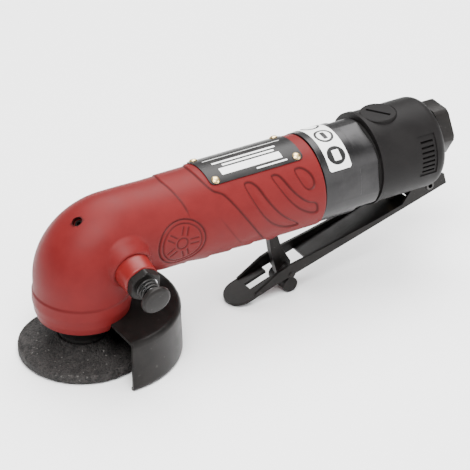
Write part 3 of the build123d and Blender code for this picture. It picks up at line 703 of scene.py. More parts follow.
@dataclass
class RubberCover:
    """Moulded rubber round the angle head and the grip."""

    bend_radius: float = 15.5
    head_radius: float = 21.7
    neck_radius: float = 20.1
    grip_radius: float = 21.1
    inner_radius: float = 18.45
    end_x: float = 114.3
    straight_x: float = 23.0
    collar_top: float = 14.6
    bead_top: float = 12.9
    guard_step: float = 3.65
    fillet: float = 1.6
    sag: float = 0.75
    columns: int = 288
    first_step: tuple = ((-60, -140), (52, -140), (52, -60), (48, -40), (44.7, -9), (45.7, 11),
                         (44.5, 40), (41.5, 70), (40, 95), (39, 140), (-60, 140))
    pad: tuple = ((55.7, 140), (55.7, 95), (56.4, 71), (59, 52), (62.2, 47), (64, 43),
                  (69.3, 19), (73.9, 0), (83.7, -37), (90, -62), (96, -95), (100, -140),
                  (200, -140), (200, 140))
    hollows: tuple = (
        ((100.2, 47), (103, 50), (106, 47), (109, 36), (109.6, 22), (106.5, 16), (103, 22)),
        ((88, 48), (91, 50), (93.5, 46), (97, 24), (104, 4), (108.6, 1), (110, -6),
         (110.3, -17), (106, -15), (99, -2), (93, 17)),
        ((73.8, 48), (77, 51), (80.4, 45), (84, 20), (91, -5), (103, -29), (95, -30),
         (84.5, -12), (77.5, 15)),
    )
    emblem_x: float = 39.5
    emblem_angle: float = -3.0
    emblem_radius: float = 11.6
    spokes: int = 5
    oil_radius: float = 2.3

    def around(self) -> Array:
        """Angles round the tube, crowded on the sides where the moulded detail is.

        The spacing follows the inverse of a density: the density is summed along the turn and
        the columns stand at equal steps of that sum.

        Returns:
            One row of angles from the underside, positive towards +Y.
        """
        fine = np.linspace(-np.pi, np.pi, 3601)
        side = np.degrees(np.abs(fine))
        density = 1.0 + 1.5 * smooth(36, 48, side) * smooth(160, 148, side)
        total = np.concatenate([[0.0], np.cumsum((density[1:] + density[:-1]) / 2)])
        share = np.linspace(0.0, total[-1], self.columns, endpoint=False)
        return np.interp(share, total, fine)[None, :]

    def relief(self, x: Array, angle: Array) -> tuple[Array, Array]:
        """Height of the grip's moulded detail over a plain tube of neck_radius.

        Each region adds a smooth step across its outline and a thin groove beside it; the
        hollows are scooped by their distance to the outline; the underside has three shallow
        saw-tooth steps, and sags a little below the handle's axis.

        Args:
            x: distance along the handle.
            angle: degrees above the handle's waist, the same on both sides.

        Returns:
            Radial heights in millimetres, and how deep in a groove each point lies.
        """
        arc = math.radians(1.0) * self.grip_radius
        across = angle * arc
        front = rounded_outline([(px, pa * arc) for px, pa in self.first_step], 2)
        crisp = smooth(24.0, 40.0, angle)
        edge = outline_distance(front, x, across)
        width = 0.3 + 6.0 * (1.0 - crisp)
        lift = np.clip((edge + width) / (2 * width), 0.0, 1.0)
        height = (self.grip_radius - 0.5 - self.neck_radius) * lift * lift * (3 - 2 * lift)
        # painted shade: these groove masks darken the rubber beside the steps, the pad and the
        # hollows
        cavity = 0.8 * crisp * np.exp(-((edge + 0.35) / 0.38) ** 2)
        pad = outline_distance(rounded_outline([(px, pa * arc) for px, pa in self.pad], 2), x,
                               across)
        height += 0.65 * smooth(0.4, -0.4, pad)
        cavity += 0.9 * np.exp(-((pad - 0.35) / 0.4) ** 2)
        faint = pad - 9.0
        low = smooth(20, 2, angle) * smooth(-44, -36, angle)
        height -= 0.2 * low * smooth(-0.5, 0.5, faint) * smooth(9, 0, faint)
        cavity += 0.4 * low * np.exp(-((faint - 0.2) / 0.4) ** 2)
        for hollow in self.hollows:
            inside = -outline_distance(rounded_outline([(px, pa * arc) for px, pa in hollow]),
                                       x, across)
            height -= 0.75 * smooth(-0.3, 0.5, inside) - 0.25 * smooth(0.5, 3.5, inside)
            cavity += 0.85 * np.exp(-((inside - 0.35) / 0.42) ** 2)
        below = smooth(-38.0, -62.0, angle)
        saw = np.mod(x - 45.5, 11.5) / 11.5
        height += 0.7 * below * (saw - 0.5) * smooth(44, 47, x) * smooth(96, 92, x)
        settle = smooth(self.straight_x, 36.0, x)
        height += settle * (0.4 - self.sag * np.sin(np.radians(angle)))
        height -= 0.45 * below * smooth(88.0, 96.0, x)
        height -= 0.4 * smooth(self.end_x - 0.5, self.end_x, x)
        # painted shade: the emblem's grooves are darkened through the groove mask
        mark, print_and_groove_shade = self.emblem(x, across - self.emblem_angle * arc)
        return height + mark, np.clip(cavity + print_and_groove_shade, 0.0, 1.0)

    def emblem(self, x: Array, across: Array) -> tuple[Array, Array]:
        """Plain wheel motif: two rings, a hub and five spokes, cut as narrow grooves darkened with
        painted shade.

        Args:
            x: distance along the handle.
            across: distance round the handle from the motif's centre.

        Returns:
            Heights in millimetres, and how deep in a groove each point lies.
        """
        dx = x - self.emblem_x
        radius = np.hypot(dx, across)
        turn = np.arctan2(across, dx)
        groove = np.exp(-((radius - self.emblem_radius) / 0.42) ** 2)
        groove += 0.8 * np.exp(-((radius - self.emblem_radius + 1.9) / 0.36) ** 2)
        groove += 0.8 * np.exp(-((radius - 2.7) / 0.36) ** 2)
        sector = 2 * np.pi / self.spokes
        spoke = np.abs(np.mod(turn / sector + 0.5, 1.0) - 0.5) * sector * radius
        part = smooth(3.9, 4.3, radius) * smooth(8.5, 8.1, radius)
        groove += 0.8 * part * np.exp(-((spoke - 1.25) / 0.36) ** 2)
        return -0.5 * groove, 0.95 * groove

    def lines(self, radius: Array, turn: Array, arc: Array) -> Array:
        """Points round the elbow: vertical, then an arc about the bend, then along the handle.

        With a = r cos(turn) the inward offset, the arc has radius max(bend - a, fillet) and
        its centre at (a + arc radius, height - a - arc radius).

        Args:
            radius: tube radius for each row and column.
            turn: angle round the tube for each column.
            arc: angle round the bend for each row and column.

        Returns:
            Points of shape rows by columns by three.
        """
        inward, sideways = radius * np.cos(turn), radius * np.sin(turn)
        bend = np.maximum(self.bend_radius - inward, self.fillet)
        x = inward + bend - bend * np.cos(arc)
        z = HANDLE_HEIGHT - inward - bend + bend * np.sin(arc)
        return np.stack([x, sideways + 0.0 * arc, z], -1)

    def head_wall(self, z: Array) -> Array:
        """Radius of the head's wall against height: rim that curves in, bead, then the wall."""
        bead = 22.2 - 0.65 * smooth(8.5, 4.0, z) - 1.3 * smooth(5.0, -0.6, z) ** 1.5
        return bead + (self.head_radius - bead) * smooth(self.bead_top - 0.35,
                                                         self.bead_top + 0.35, z)

    def skin(self) -> tuple[Array, Array]:
        """Grid of the whole cover: outer skin from rim to grip end, and the inner wall back.

        Returns:
            Points of shape rows by columns by three, closed along both, and how deep in a
            groove each lies.
        """
        turn = self.around()
        none = np.zeros_like(turn)
        start = self.lines(self.head_radius + none, turn, none)
        low = self.guard_step * smooth(2.6, 3.3, 21.6 * np.cos(turn))
        top = np.minimum(self.collar_top, start[..., 2] - 0.2)
        share = np.linspace(0.0, 1.0, 34)[:, None]
        z = low + (top - low) * share
        radius = self.head_wall(z)
        collar = np.stack([radius * np.cos(turn), radius * np.sin(turn), z], -1)
        share = np.linspace(0.0, 1.0, 5)[1:-1, None, None]
        wall = collar[-1:] * (1 - share) + start * share
        arc = np.linspace(0.0, np.pi / 2, 34)[:, None]
        radius = self.head_radius + (self.neck_radius - self.head_radius) * smooth(
            0.0, np.pi / 2, arc)
        elbow = self.lines(radius + none, turn, arc + none)
        side, up = self.neck_radius * np.sin(turn), -self.neck_radius * np.cos(turn)
        first = np.stack([self.straight_x + none, side, HANDLE_HEIGHT + up], -1)
        share = np.linspace(0.0, 1.0, 6)[1:-1, None, None]
        neck = elbow[-1:] * (1 - share) + first * share
        x = np.linspace(self.straight_x, self.end_x, 246)[:, None]
        angle = np.degrees(np.arctan2(up, np.abs(side)))
        height, groove = self.relief(x + none, angle + 0.0 * x)
        radius = self.neck_radius + height
        grip = np.stack([x + none, radius * np.sin(turn),
                         HANDLE_HEIGHT - radius * np.cos(turn)], -1)
        inner = self.inner_radius
        back_x = np.array([self.end_x, 90.0, 60.0, 40.0, self.straight_x])[:, None]
        back = np.stack([back_x + none, inner * np.sin(turn) + 0 * back_x,
                         HANDLE_HEIGHT - inner * np.cos(turn) + 0 * back_x], -1)
        arc = np.linspace(np.pi / 2, 0.0, 10)[:, None]
        bend = self.lines(inner + 0 * arc + none, turn, arc + none)
        z = low + np.array([8.0, 4.0, 0.0])[:, None]
        foot = np.stack([inner * np.cos(turn) + 0 * z, inner * np.sin(turn) + 0 * z, z], -1)
        outer = np.concatenate([collar, wall, elbow, neck, grip])
        within = np.concatenate([back, bend, foot])
        cavity = np.zeros(outer.shape[:2])
        cavity[-len(grip):] = groove
        # painted shade: a dark line along the crease at the top of the bead
        crease = (collar[..., 2] - self.bead_top) / 0.5
        cavity[:len(collar)] = 0.45 * np.exp(-crease ** 2)
        outer, cavity = self.hug_boss(outer, cavity)
        return (np.concatenate([outer, within]),
                np.concatenate([cavity, np.zeros(within.shape[:2])]))

    def hug_boss(self, points: Array, cavity: Array) -> tuple[Array, Array]:
        """Draws the skin out along the lock's axis into a collar round the boss, and paints a ring
        of shade where the collar meets the boss.

        Args:
            points: outer skin.
            cavity: how deep in a groove each point lies.

        Returns:
            The same two, changed near the boss.
        """
        square, along = LOCK_AXIS.distance(points)
        near = (along > 12) & (points[..., 0] < 40)
        target = 23.4 - 5.5 * smooth(9.4, 12.3, square) 
        lift = np.maximum(target - along, 0.0) * near * smooth(13.0, 11.8, square)
        points = points + lift[..., None] * np.asarray(LOCK_AXIS.along)
        # painted shade: a dark ring in the rubber where it meets the boss
        painted_shade = 0.4 * near * smooth(9.5, 8.9, square)
        return points, np.maximum(cavity, painted_shade)

    def build(self, shop: Workshop) -> None:
        """Moulds the cover and opens it for the lock's boss and the oil hole.

        Args:
            shop: the workshop.
        """
        points, cavity = self.skin()
        rows, columns = points.shape[:2]
        piece = shop.shape("rubber_skin", points, grid_faces(rows, columns, wrap_rows=True),
                           50, cavity)
        oil = Axis((-3.94, -3.65, 49.4), (-0.529, -0.174, 0.831), (0.8436, 0.0, 0.537))
        boss = np.array([(0, 8), (8.75, 8), (8.75, 40), (0, 40)], float)
        hole = np.array([(0, -9), (self.oil_radius, -9), (self.oil_radius, 9), (0, 9)], float)
        tools = [shop.turned("boss_tool", boss, LOCK_AXIS, 80),
                 # painted shade: the cutter's cavity of 1 darkens the oil hole's wall
                 shop.turned("oil_tool", hole, oil, 48, cavity=1.0)]
        shop.cut(piece, tools)
        self.darken_hole(piece, shop, oil)
        shop.settle(piece, Look.RUBBER, "handle_group", ["rubber_cover"])

    def darken_hole(self, piece: Any, shop: Workshop, oil: Axis) -> None:
        """Counts every point on the oil hole's wall as deep in a groove, so the rubber paints shade
        there.

        Args:
            piece: the cut cover.
            shop: the workshop.
            oil: axis of the oil hole.
        """
        points = np.zeros(len(piece.data.vertices) * 3)
        piece.data.vertices.foreach_get("co", points)
        square, along = oil.distance((points.reshape(-1, 3) - shop.offset) * 1000.0)
        layer = piece.data.attributes["cavity"].data
        cavity = np.zeros(len(layer), np.float32)
        layer.foreach_get("value", cavity)
        wall = (square < self.oil_radius + 0.12) & (np.abs(along) < 9.5)
        layer.foreach_set("value", np.where(wall, 1.0, cavity).astype(np.float32))


@dataclass
class SpindleLock:
    """Boss, nut, spring and button of the spindle lock."""

    boss_end: float = 31.5
    nut_end: float = 35.2
    button_start: float = 42.6
    button_radius: float = 6.9
    spring_base: float = 4.6
    spring_top: float = 3.9
    wire_radius: float = 0.6
    turns: float = 3.9

    def nut_points(self) -> Array:
        """Hexagon with bevelled corners: the radius is the lesser of the hexagon's, a circle's,
        and a cone's at each end.

        Returns:
            Points of shape rows by columns by three.
        """
        turn = np.linspace(0.0, 2 * np.pi, 192, endpoint=False)[None, :]
        sector = np.mod(turn + np.pi / 6, np.pi / 3) - np.pi / 6
        hexagon = np.minimum(6.9 / np.cos(sector), 7.75)
        low, high = self.boss_end, self.nut_end
        height = np.array([low, low, low + 0.2, low + 0.5, high - 0.6, high - 0.25, high,
                           high, high - 0.6])[:, None]
        limit = np.array([4.6, 7.3, 7.55, 8.0, 8.0, 7.45, 7.05, 4.9, 4.5])[:, None]
        radius = np.minimum(hexagon, limit)
        return LOCK_AXIS.place(radius * np.cos(turn), radius * np.sin(turn), height + 0 * turn)

    def build(self, shop: Workshop) -> None:
        """Makes the lock's visible pieces.

        Args:
            shop: the workshop.
        """
        boss = rounded_profile([(4.6, 14), (8.7, 14), (8.65, 22.5), (8.35, 26.0), (7.9, 31.5),
                                (4.6, 31.5)], 0.8)
        piece = shop.turned("lock_boss", boss, LOCK_AXIS, 120)
        shop.settle(piece, Look.PAINT, "handle_group")
        nut = self.nut_points()
        piece = shop.shape("lock_nut_finished", nut, grid_faces(*nut.shape[:2], wrap_rows=True),
                           28)
        shop.settle(piece, Look.OXIDE, "handle_group", ["lock_nut"])
        end = self.nut_end
        cap = np.array([(2.1, end - 0.9), (5.2, end - 0.9), (5.2, end + 0.2), (4.9, end + 0.35),
                        (2.3, end + 0.35), (2.1, end + 0.2)])
        shop.settle(shop.turned("lock_nut_cap", cap, LOCK_AXIS, 96), Look.OXIDE, "handle_group")
        inset = 0.7 * self.wire_radius
        coil = coil_points(LOCK_AXIS, self.spring_base, self.spring_top, self.wire_radius,
                           end + inset, self.button_start - end - 2 * inset, self.turns)
        piece = shop.shape("lock_spring_wire", coil, grid_faces(*coil.shape[:2]))
        shop.settle(piece, Look.SPRING, "handle_group", ["lock_spring"])
        anchor = LOCK_AXIS.place(np.zeros(1), np.zeros(1), np.full(1, self.nut_end))[0]
        tuple(anchor / 1000.0 + shop.offset)
        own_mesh(piece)
        start, r = self.button_start, self.button_radius
        button = rounded_profile([(0, start), (2.3, start), (2.6, start + 0.1), (r - 0.5, start),
                                  (r, start + 0.7), (r, start + 2.1), (r - 1.0, start + 2.8),
                                  (3.0, start + 3.0), (0, start + 3.05)], 0.35)
        piece = shop.turned("lock_button_finished", button, LOCK_AXIS, 120)
        shop.settle(piece, Look.OXIDE, "lock_plunger", ["lock_button"])


@dataclass
class WheelGuard:
    """Pressed steel guard: flat plate, rounded shoulder, skirt and turned-in lower edge."""

    radius: float = 40.2
    flare: float = 0.8
    centre_x: float = 4.4
    front_x: float = 3.0
    plate_top: float = 3.6
    floor: float = -20.8
    thickness: float = 1.6
    shoulder: float = 2.6

    def section(self) -> Array:
        """Outside line of the sheet as (radius, z), with a quarter circle at the shoulder."""
        turn = np.linspace(0.0, np.pi / 2, 9)
        bend = np.stack([self.radius - self.shoulder + self.shoulder * np.sin(turn),
                         self.plate_top - self.shoulder + self.shoulder * np.cos(turn)], -1)
        plate = np.stack([np.linspace(14.0, self.radius - self.shoulder - 0.5, 8),
                          np.full(8, self.plate_top)], -1)
        lip_r = 1.9
        turn = np.linspace(0.0, np.pi / 2, 5)
        lip = np.stack([self.radius - lip_r + lip_r * np.cos(turn),
                        self.floor + lip_r - lip_r * np.sin(turn)], -1)
        wall = np.stack([np.full(7, self.radius), np.linspace(-1.5, self.floor + 2.6, 7)], -1)
        end = np.array([[self.radius - 2.3, self.floor]])
        section = np.vstack([plate, bend, wall, lip, end])
        section[:, 0] += self.flare * smooth(-1.0, self.floor, section[:, 1])
        return section

    def sheet(self) -> Array:
        """The section swept round the guard's centre, and straight on past it to the front.

        Returns:
            Points of shape rows by columns by three.
        """
        turn = np.linspace(-np.pi / 2, np.pi / 2, 97)[None, :]
        section = self.section()
        radius, z = section[:, :1], section[:, 1:]
        x = self.centre_x + radius * np.cos(turn)
        y = radius * np.sin(turn)
        run = np.linspace(self.front_x, self.centre_x, 5)[None, :-1]
        left = np.stack([run + 0 * radius, -radius + 0 * run, z + 0 * run], -1)
        right = np.stack([run[:, ::-1] + 0 * radius, radius + 0 * run, z + 0 * run], -1)
        middle = np.stack([x, y, z + 0 * turn], -1)
        return np.concatenate([left, middle, right], 1)

    def build(self, shop: Workshop) -> None:
        """Presses the guard.

        Args:
            shop: the workshop.
        """
        outside = self.sheet()
        ahead = np.gradient(outside, axis=0)
        round_it = np.gradient(outside, axis=1)
        normal = np.cross(ahead, round_it)
        normal /= np.linalg.norm(normal, axis=-1, keepdims=True)
        if normal[3, 50, 2] < 0:
            normal = -normal
        inside = outside - normal * self.thickness
        shell = np.concatenate([outside, inside[::-1]])
        rows, columns = shell.shape[:2]
        faces = grid_faces(rows, columns, wrap_rows=True, wrap_columns=False)
        index = np.arange(rows * columns).reshape(rows, columns)
        half = rows // 2
        ends = []
        for column, turned in ((0, True), (columns - 1, False)):
            out, back = index[:half, column], index[::-1, column][:half]
            quads = np.stack([out[:-1], back[:-1], back[1:], out[1:]], -1)
            ends.append(quads[:, ::-1] if turned else quads)
        piece = shop.shape("guard_sheet", shell, np.vstack([faces, *ends]), 50)
        bevel = piece.modifiers.new("edge", "BEVEL")
        bevel.width = 0.0003
        bevel.segments = 2
        bevel.angle_limit = math.radians(50)
        shop.settle(piece, Look.OXIDE, "handle_group", ["guard"])


@dataclass
class GrindingWheel:
    """Depressed-centre wheel with a rough, gritty surface."""

    low: float = -19.8
    thickness: float = 4.0
    depression: float = 5.0
    radius: float = 29.0
    bore: float = 4.765

    def build(self, shop: Workshop) -> None:
        """Turns the wheel, then roughens it with seeded random heights along its normals.

        Args:
            shop: the workshop.
        """
        top = self.low + self.thickness
        hub = top + self.depression
        profile = [(self.bore, hub - 4), (self.bore, hub), (11.5, hub), (16.0, top), (27.0, top),
                   (27.3, top - 0.25), (27.7, top), (28.6, top), (29.0, top - 0.5),
                   (29.0, self.low + 0.5), (28.6, self.low), (15.0, self.low),
                   (10.6, hub - 4), (self.bore, hub - 4)]
        corners = np.asarray(profile, float)
        pieces = []
        for start, end in zip(corners, corners[1:]):
            count = max(2, int(np.hypot(*(end - start)) / 0.35))
            pieces.append(start + (end - start) * np.linspace(0, 1, count, endpoint=False)[:, None])
        line = np.vstack(pieces)
        columns = 420
        turn = np.linspace(0.0, 2 * np.pi, columns, endpoint=False)[None, :]
        points = SPINDLE_AXIS.place(line[:, :1] * np.cos(turn), line[:, :1] * np.sin(turn),
                                    line[:, 1:] + 0 * turn)
        across = np.gradient(line, axis=0)
        normal = np.stack([across[:, 1], -across[:, 0]], -1)
        normal /= np.linalg.norm(normal, axis=1, keepdims=True)
        grit = np.random.default_rng(7).uniform(-1.0, 1.0, (len(line), columns))
        grit = (grit + np.roll(grit, 1, 0) + np.roll(grit, 1, 1)) / 3
        rough = 0.13 * grit * (line[:, :1] > self.bore + 0.5)
        points[..., 0] += rough * normal[:, :1] * np.cos(turn)
        points[..., 1] += rough * normal[:, :1] * np.sin(turn)
        points[..., 2] += rough * normal[:, 1:]
        piece = shop.shape("wheel_grit", points, grid_faces(len(line), columns, wrap_rows=True),
                           80)
        shop.settle(piece, Look.GRIT, "spindle_group", ["grinding_wheel"])


@dataclass
class WrappedPatch:
    """Thin patch that follows the handle's curve: plate, label or printed mark."""

    radius: float
    thickness: float

    def points(self, x: Array, angle: Array) -> Array:
        """Outer and inner skins of a patch given by a grid of x and degrees above the waist."""
        turn = np.radians(angle)
        skins = []
        for radius in (self.radius + self.thickness, self.radius):
            skins.append(np.stack([x, -radius * np.cos(turn),
                                   HANDLE_HEIGHT + radius * np.sin(turn)], -1))
        return np.stack(skins)

    def sheet(self, shop: Workshop, name: str, x: Array, angle: Array) -> Any:
        """Closed sheet over a grid: both skins and the four narrow sides.

        Args:
            shop: the workshop.
            name: piece name.
            x: grid of distances along the handle.
            angle: grid of degrees above the waist.

        Returns:
            The new object.
        """
        rows, columns = x.shape
        border = np.concatenate([
            np.arange(columns), columns * np.arange(1, rows) + columns - 1,
            columns * (rows - 1) + np.arange(columns - 2, -1, -1),
            columns * np.arange(rows - 2, 0, -1)])
        ahead = np.roll(border, -1)
        outer = grid_faces(rows, columns, wrap_columns=False)
        inner = outer[:, ::-1] + rows * columns
        shift = rows * columns
        sides = np.stack([ahead, border, border + shift, ahead + shift], -1)
        return shop.shape(name, self.points(x, angle), np.vstack([outer, inner, sides]), 50)

    def rectangle(self, shop: Workshop, name: str, x: tuple[float, float],
                  angle: tuple[float, float], corner: float = 0.0) -> Any:
        """Rectangle on the curve, with rounded corners of the given radius."""
        u = np.linspace(-1.0, 1.0, 33)[None, :]
        v = np.linspace(-1.0, 1.0, 49)[:, None]
        half_x = (x[1] - x[0]) / 2
        arc = math.radians(1.0) * self.radius
        half_a = (angle[1] - angle[0]) / 2 * arc
        reach = np.abs(v) * half_a - (half_a - corner)
        inset = np.where(reach > 0, corner - np.sqrt(np.maximum(corner ** 2 - reach ** 2, 0)), 0)
        grid_x = (x[0] + x[1]) / 2 + u * (half_x - inset)
        grid_a = (angle[0] + angle[1]) / 2 + v * half_a / arc + 0 * u
        return self.sheet(shop, name, grid_x + 0 * grid_a, grid_a)

    def disc(self, shop: Workshop, name: str, x: float, angle: float, radius: float) -> Any:
        """Round patch on the curve: a square grid pressed to a circle."""
        u = np.linspace(-1.0, 1.0, 25)[None, :]
        v = np.linspace(-1.0, 1.0, 25)[:, None]
        arc = math.radians(1.0) * self.radius
        grid_u = u * np.sqrt(1 - v * v / 2)
        grid_v = v * np.sqrt(1 - u * u / 2)
        return self.sheet(shop, name, x + radius * grid_u, angle + radius * grid_v / arc)


@dataclass
class Trim:
    """Nameplate with its drive screws, and the printed label on the steel band."""

    plate_x: tuple[float, float] = (59.5, 108.0)
    screw_x: tuple[float, float] = (62.6, 105.0)
    label_x: tuple[float, float] = (117.9, 129.6)

    def screws(self, shop: Workshop) -> None:
        """Four domed brass drive screws in one piece."""
        profile = rounded_profile([(0, 20.2), (0.95, 20.2), (0.95, 21.5), (2.0, 21.5),
                                   (2.0, 21.75), (1.2, 22.35), (0, 22.55)], 0.25, 3)
        turn = np.linspace(0.0, 2 * np.pi, 32, endpoint=False)[None, :]
        points, faces = [], []
        for x in self.screw_x:
            for tilt in (-27.0, 27.0):
                lean = math.radians(tilt)
                axis = Axis((x, 0.0, HANDLE_HEIGHT), (0.0, -math.sin(lean), math.cos(lean)),
                            (1.0, 0.0, 0.0))
                grid = axis.place(profile[:, :1] * np.cos(turn), profile[:, :1] * np.sin(turn),
                                  profile[:, 1:] + 0 * turn).reshape(-1, 3)
                faces.append(grid_faces(len(profile), 32) + sum(len(p) for p in points))
                points.append(grid)
        piece = shop.shape("nameplate_drive_screws", np.vstack(points), np.vstack(faces))
        shop.settle(piece, Look.BRASS, "handle_group", ["nameplate_screws"])

    def build(self, shop: Workshop) -> None:
        """Wraps the plate, the label and their printed fields.

        Args:
            shop: the workshop.
        """
        body = "handle_group"
        plate = WrappedPatch(21.12, 0.42)
        piece = plate.rectangle(shop, "nameplate_sheet", self.plate_x, (57, 123), 2.4)
        shop.settle(piece, Look.PLATE, body, ["nameplate"])
        print_and_groove_shade = WrappedPatch(21.5, 0.07)
        shop.settle(print_and_groove_shade.rectangle(shop, "nameplate_field", (67.0, 98.5), (67, 77.5), 0.2),
                    Look.FILM, body)
        rules = (("low", (84.0, 100.0), (61.5, 63.5)), ("first", (70.0, 97.0), (80.5, 83.5)),
                 ("second", (66.0, 99.0), (87.0, 90.0)), ("third", (63.5, 104.0), (99, 100.0)))
        for name, x, angle in rules:
            shop.settle(print_and_groove_shade.rectangle(shop, f"nameplate_rule_{name}", x, angle, 0.2),
                        Look.FILM, body)
        self.screws(shop)
        label = WrappedPatch(21.3, 0.16)
        piece = label.rectangle(shop, "band_label_sheet", self.label_x, (31, 149), 0.8)
        shop.settle(piece, Look.FILM, body, ["band_label"])
        black, white, inner = (WrappedPatch(r, 0.07) for r in (21.42, 21.45, 21.48))
        x = sum(self.label_x) / 2
        for number, angle in enumerate((50.0, 82.0, 114.0)):
            piece = black.disc(shop, f"label_disc_{number}", x, angle, 4.6)
            shop.settle(piece, Look.INK, body)
        for number, angle in enumerate((82.0, 114.0)):
            piece = white.disc(shop, f"label_ring_{number}", x, angle, 3.4)
            shop.settle(piece, Look.FILM, body)
        piece = white.rectangle(shop, "label_panel", (x - 1.6, x + 2.0), (43.0, 57.0), 0.5)
        shop.settle(piece, Look.FILM, body)
        piece = inner.rectangle(shop, "label_bar", (x - 1.1, x + 1.1), (75.5, 88.5), 0.5)
        shop.settle(piece, Look.INK, body)


@dataclass
class MotorAndHousing:
    """Steel band, rear housing, regulator, exhaust and air inlet."""

    rounding: dict[str, float] = field(default_factory=lambda: {
        "rear_housing": 0.5, "regulator": 0.55, "exhaust_grille": 0.15, "inlet_bushing": 0.35,
        "motor_housing": 0.25})

    def build(self, shop: Workshop) -> None:
        """Rounds the CAD shapes and dresses them.

        Args:
            shop: the workshop.
        """
        looks = {
            "rear_housing": (Look.COMPOSITE, "handle_group"),
            "regulator": (Look.COMPOSITE, "regulator_group"),
            "exhaust_grille": (Look.COMPOSITE, "handle_group"),
            "inlet_bushing": (Look.OXIDE, "handle_group"),
            "motor_housing": (Look.BAND, "handle_group"),
        }
        for node, (look, body) in looks.items():
            piece = shop.softened(node, self.rounding[node])
            shop.settle(piece, look, body, [node])


@dataclass
class ThrottleLever:
    """Channel lever, its roll pin, and the lock-off lever with its pin and spring."""

    coil_start: float = 2.5
    coil_length: float = 3.6
    coil_turns: float = 4.2
    coil_radius: float = 2.35
    wire_radius: float = 0.42

    def build(self, shop: Workshop) -> None:
        """Rounds the pressed and turned shapes and dresses them.

        Args:
            shop: the workshop.
        """
        parts = {
            "throttle_lever": (0.35, Look.OXIDE, "lever_group"),
            "lock_lever": (0.4, Look.OXIDE, "lock_lever_group"),
            "lock_lever_pin": (0.25, Look.OXIDE, "lever_group"),
            "lever_pin": (0.2, Look.ROLL_PIN, "handle_group"),
        }
        for node, (width, look, body) in parts.items():
            shop.settle(shop.softened(node, width), look, body, [node])
        shop.settle(self.return_spring(shop), Look.SPRING, "lever_group")

    def return_spring(self, shop: Workshop) -> Any:
        """Two short coils on the lock-off lever's pin, one each side of its hub.

        Args:
            shop: the workshop.

        Returns:
            The new object.
        """
        pin = Axis((105.0, 0.0, -9.8), (0.0, 1.0, 0.0), (1.0, 0.0, 0.0))
        one, other = (coil_points(pin, self.coil_radius, self.coil_radius, self.wire_radius,
                                  side * self.coil_start, side * self.coil_length,
                                  self.coil_turns) for side in (1.0, -1.0))
        faces = grid_faces(*one.shape[:2])
        return shop.shape("lock_lever_spring", np.concatenate([one, other]),
                          np.vstack([faces, faces + one.shape[0] * one.shape[1]]))


@dataclass
class InnerParts:
    """CAD nodes that keep their own shape: everything inside the tool."""

    valve_wire: float = 0.4
    valve_lift: float = 3.4
    looks: dict[Look, tuple[str, ...]] = field(default_factory=lambda: {
        Look.PAINT: ("head_housing",),
        Look.OXIDE: ("oil_plug", "guard_screws", "flange_nut"),
        # painted shade: these bright-steel parts take a darkened steel because they sit in shade
        Look.SHADED: ("bearing_cap", "inner_flange", "valve_stem"),
        Look.STEEL: ("spindle_bearing_spacer", "spindle", "spindle_sleeve",
                     "spindle_key", "bevel_gear", "gear_nut", "lock_guide",
                     "lock_pin", "pinion_retainer", "front_end_plate", "rear_end_plate",
                     "cylinder_liner", "liner_dowel", "motor_clamp_ring", "rotor",
                     "bevel_pinion", "pinion_spacer"),
        Look.BEARING: ("spindle_bearing_outer_races", "spindle_bearing_inner_races",
                       "spindle_bearing_balls", "rotor_bearing_outer_races",
                       "rotor_bearing_inner_races", "rotor_bearing_balls"),
        Look.VANE: ("rotor_vanes",),
        Look.GASKET: ("housing_gasket",),
        Look.FELT: ("exhaust_muffler",),
        Look.BRASS: ("valve_seat", "valve_guide", "valve_poppet", "inlet_screen"),
        Look.SEAL: ("spindle_seal", "stem_seal", "regulator_seal", "inlet_washer"),
    })

    def build(self, shop: Workshop) -> None:
        """Dresses the inner nodes.

        Args:
            shop: the workshop.
        """
        shop.paint(self.looks)
        self.valve_spring(shop)

    def valve_spring(self, shop: Workshop) -> None:
        """Coil over the valve, as long as the CAD spring; it does not shorten as the valve lifts.

        Args:
            shop: the workshop.
        """
        low, high = (np.array(corner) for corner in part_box("valve_spring"))
        centre = ((low + high) / 2 - shop.offset) * 1000.0
        height = (high[2] - low[2]) * 1000.0
        wire = self.valve_wire
        axis = Axis((centre[0], centre[1], centre[2] - height / 2), (0.0, 0.0, 1.0),
                    (1.0, 0.0, 0.0))
        radius = (high[0] - low[0]) * 500.0 - wire
        coil = coil_points(axis, radius, radius, wire, wire, height - 2 * wire, 4.0)
        piece = shop.shape("valve_spring_wire", coil, grid_faces(*coil.shape[:2]))
        shop.settle(piece, Look.SPRING, "handle_group", ["valve_spring"])
        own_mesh(piece)


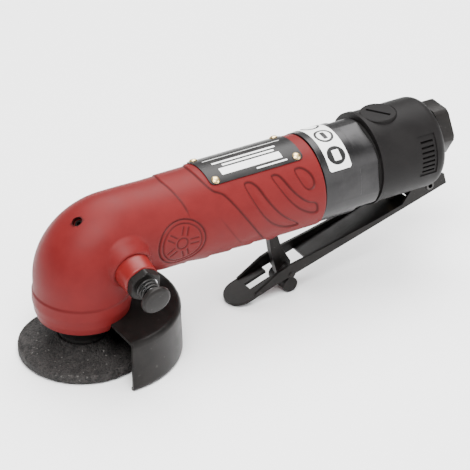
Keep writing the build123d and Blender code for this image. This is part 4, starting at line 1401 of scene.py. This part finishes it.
# ------------------------------------------------------------------ studio
@dataclass(frozen=True)
class Studio:
    """Camera, pale floor and soft lights."""

    azimuth: float = -32.01
    elevation: float = 31.38
    roll: float = 0.98
    distance: float = 1.2
    lens: float = 207.17
    aside: tuple[float, float] = (0.06784, 0.03341)

    def camera(self, target: Array) -> None:
        """Long-lens camera that looks past the spindle.

        Args:
            target: the head's rim centre, in metres.
        """
        a, e, r = (math.radians(v) for v in (self.azimuth, self.elevation, self.roll))
        back = np.array([math.sin(a) * math.cos(e), -math.cos(a) * math.cos(e), math.sin(e)])
        level = np.array([math.cos(a), math.sin(a), 0.0])
        upright = np.cross(back, level)
        right = math.cos(r) * level + math.sin(r) * upright
        up = math.cos(r) * upright - math.sin(r) * level
        place = target + right * self.aside[0] + up * self.aside[1] + back * self.distance
        data = bpy.data.cameras.new("studio_camera")
        data.lens = self.lens
        data.sensor_width = 36.0
        data.clip_start, data.clip_end = 0.05, 20.0
        camera = bpy.data.objects.new("studio_camera", data)
        camera.matrix_world = Matrix([[right[i], up[i], back[i], place[i]] for i in range(3)]
                                     + [[0.0, 0.0, 0.0, 1.0]])
        bpy.context.scene.collection.objects.link(camera)
        bpy.context.scene.camera = camera

    def light(self, name: str, place: Sequence[float], aim: Sequence[float], size: float,
              watts: float) -> None:
        """One square area light.

        Args:
            name: light name.
            place: where it stands, in metres.
            aim: the point that it faces.
            size: length of its side.
            watts: its power.
        """
        data = bpy.data.lights.new(name, "AREA")
        data.size = size
        data.energy = watts
        lamp = bpy.data.objects.new(name, data)
        lamp.location = place
        lamp.rotation_mode = "QUATERNION"
        lamp.rotation_quaternion = (Vector(aim) - Vector(place)).to_track_quat("-Z", "Y")
        bpy.context.scene.collection.objects.link(lamp)

    def build(self, shop: Workshop) -> None:
        """Sets up the floor, the lights, the sky and the camera.

        Args:
            shop: the workshop.
        """
        mesh = bpy.data.meshes.new("studio_floor")
        edge = 6.0
        mesh.from_pydata([(-edge, -edge, 0.0), (edge, -edge, 0.0), (edge, edge, 0.0),
                          (-edge, edge, 0.0)], [], [(0, 1, 2, 3)])
        floor = bpy.data.objects.new("studio_floor", mesh)
        bpy.context.scene.collection.objects.link(floor)
        shader = Shader("pale_floor")
        shader.put("Base Color", (0.93, 0.93, 0.93))
        shader.put("Roughness", 0.9)
        shader.put("Specular IOR Level", 0.0)
        mesh.materials.append(shader.material)
        world = bpy.data.worlds.new("studio_sky")
        world.use_nodes = True
        background = world.node_tree.nodes["Background"]
        background.inputs["Color"].default_value = (1.0, 1.0, 1.0, 1.0)
        background.inputs["Strength"].default_value = 0.42
        bpy.context.scene.world = world
        for name, place, size, watts in (("key_light", (-0.42, -0.52, 1.25), 1.0, 52.0),
                                         ("top_light", (0.35, 0.5, 1.2), 1.1, 42.0),
                                         ("side_light", (0.9, -0.9, 0.5), 0.9, 12.0)):
            self.light(name, place, (0.0, 0.0, 0.03), size, watts)
        self.camera(shop.offset)


def main() -> None:
    """Builds the tool from its sub-assemblies, then the studio round it."""
    logging.basicConfig(level=logging.INFO, format="%(name)s %(message)s")
    shop = Workshop()
    for assembly in (InnerParts(), RubberCover(), SpindleLock(), WheelGuard(), GrindingWheel(),
                     MotorAndHousing(), ThrottleLever(), Trim()):
        LOG.info("building %s", type(assembly).__name__)
        assembly.build(shop)
    Studio().build(shop)


if __name__ == "__main__":
    main()
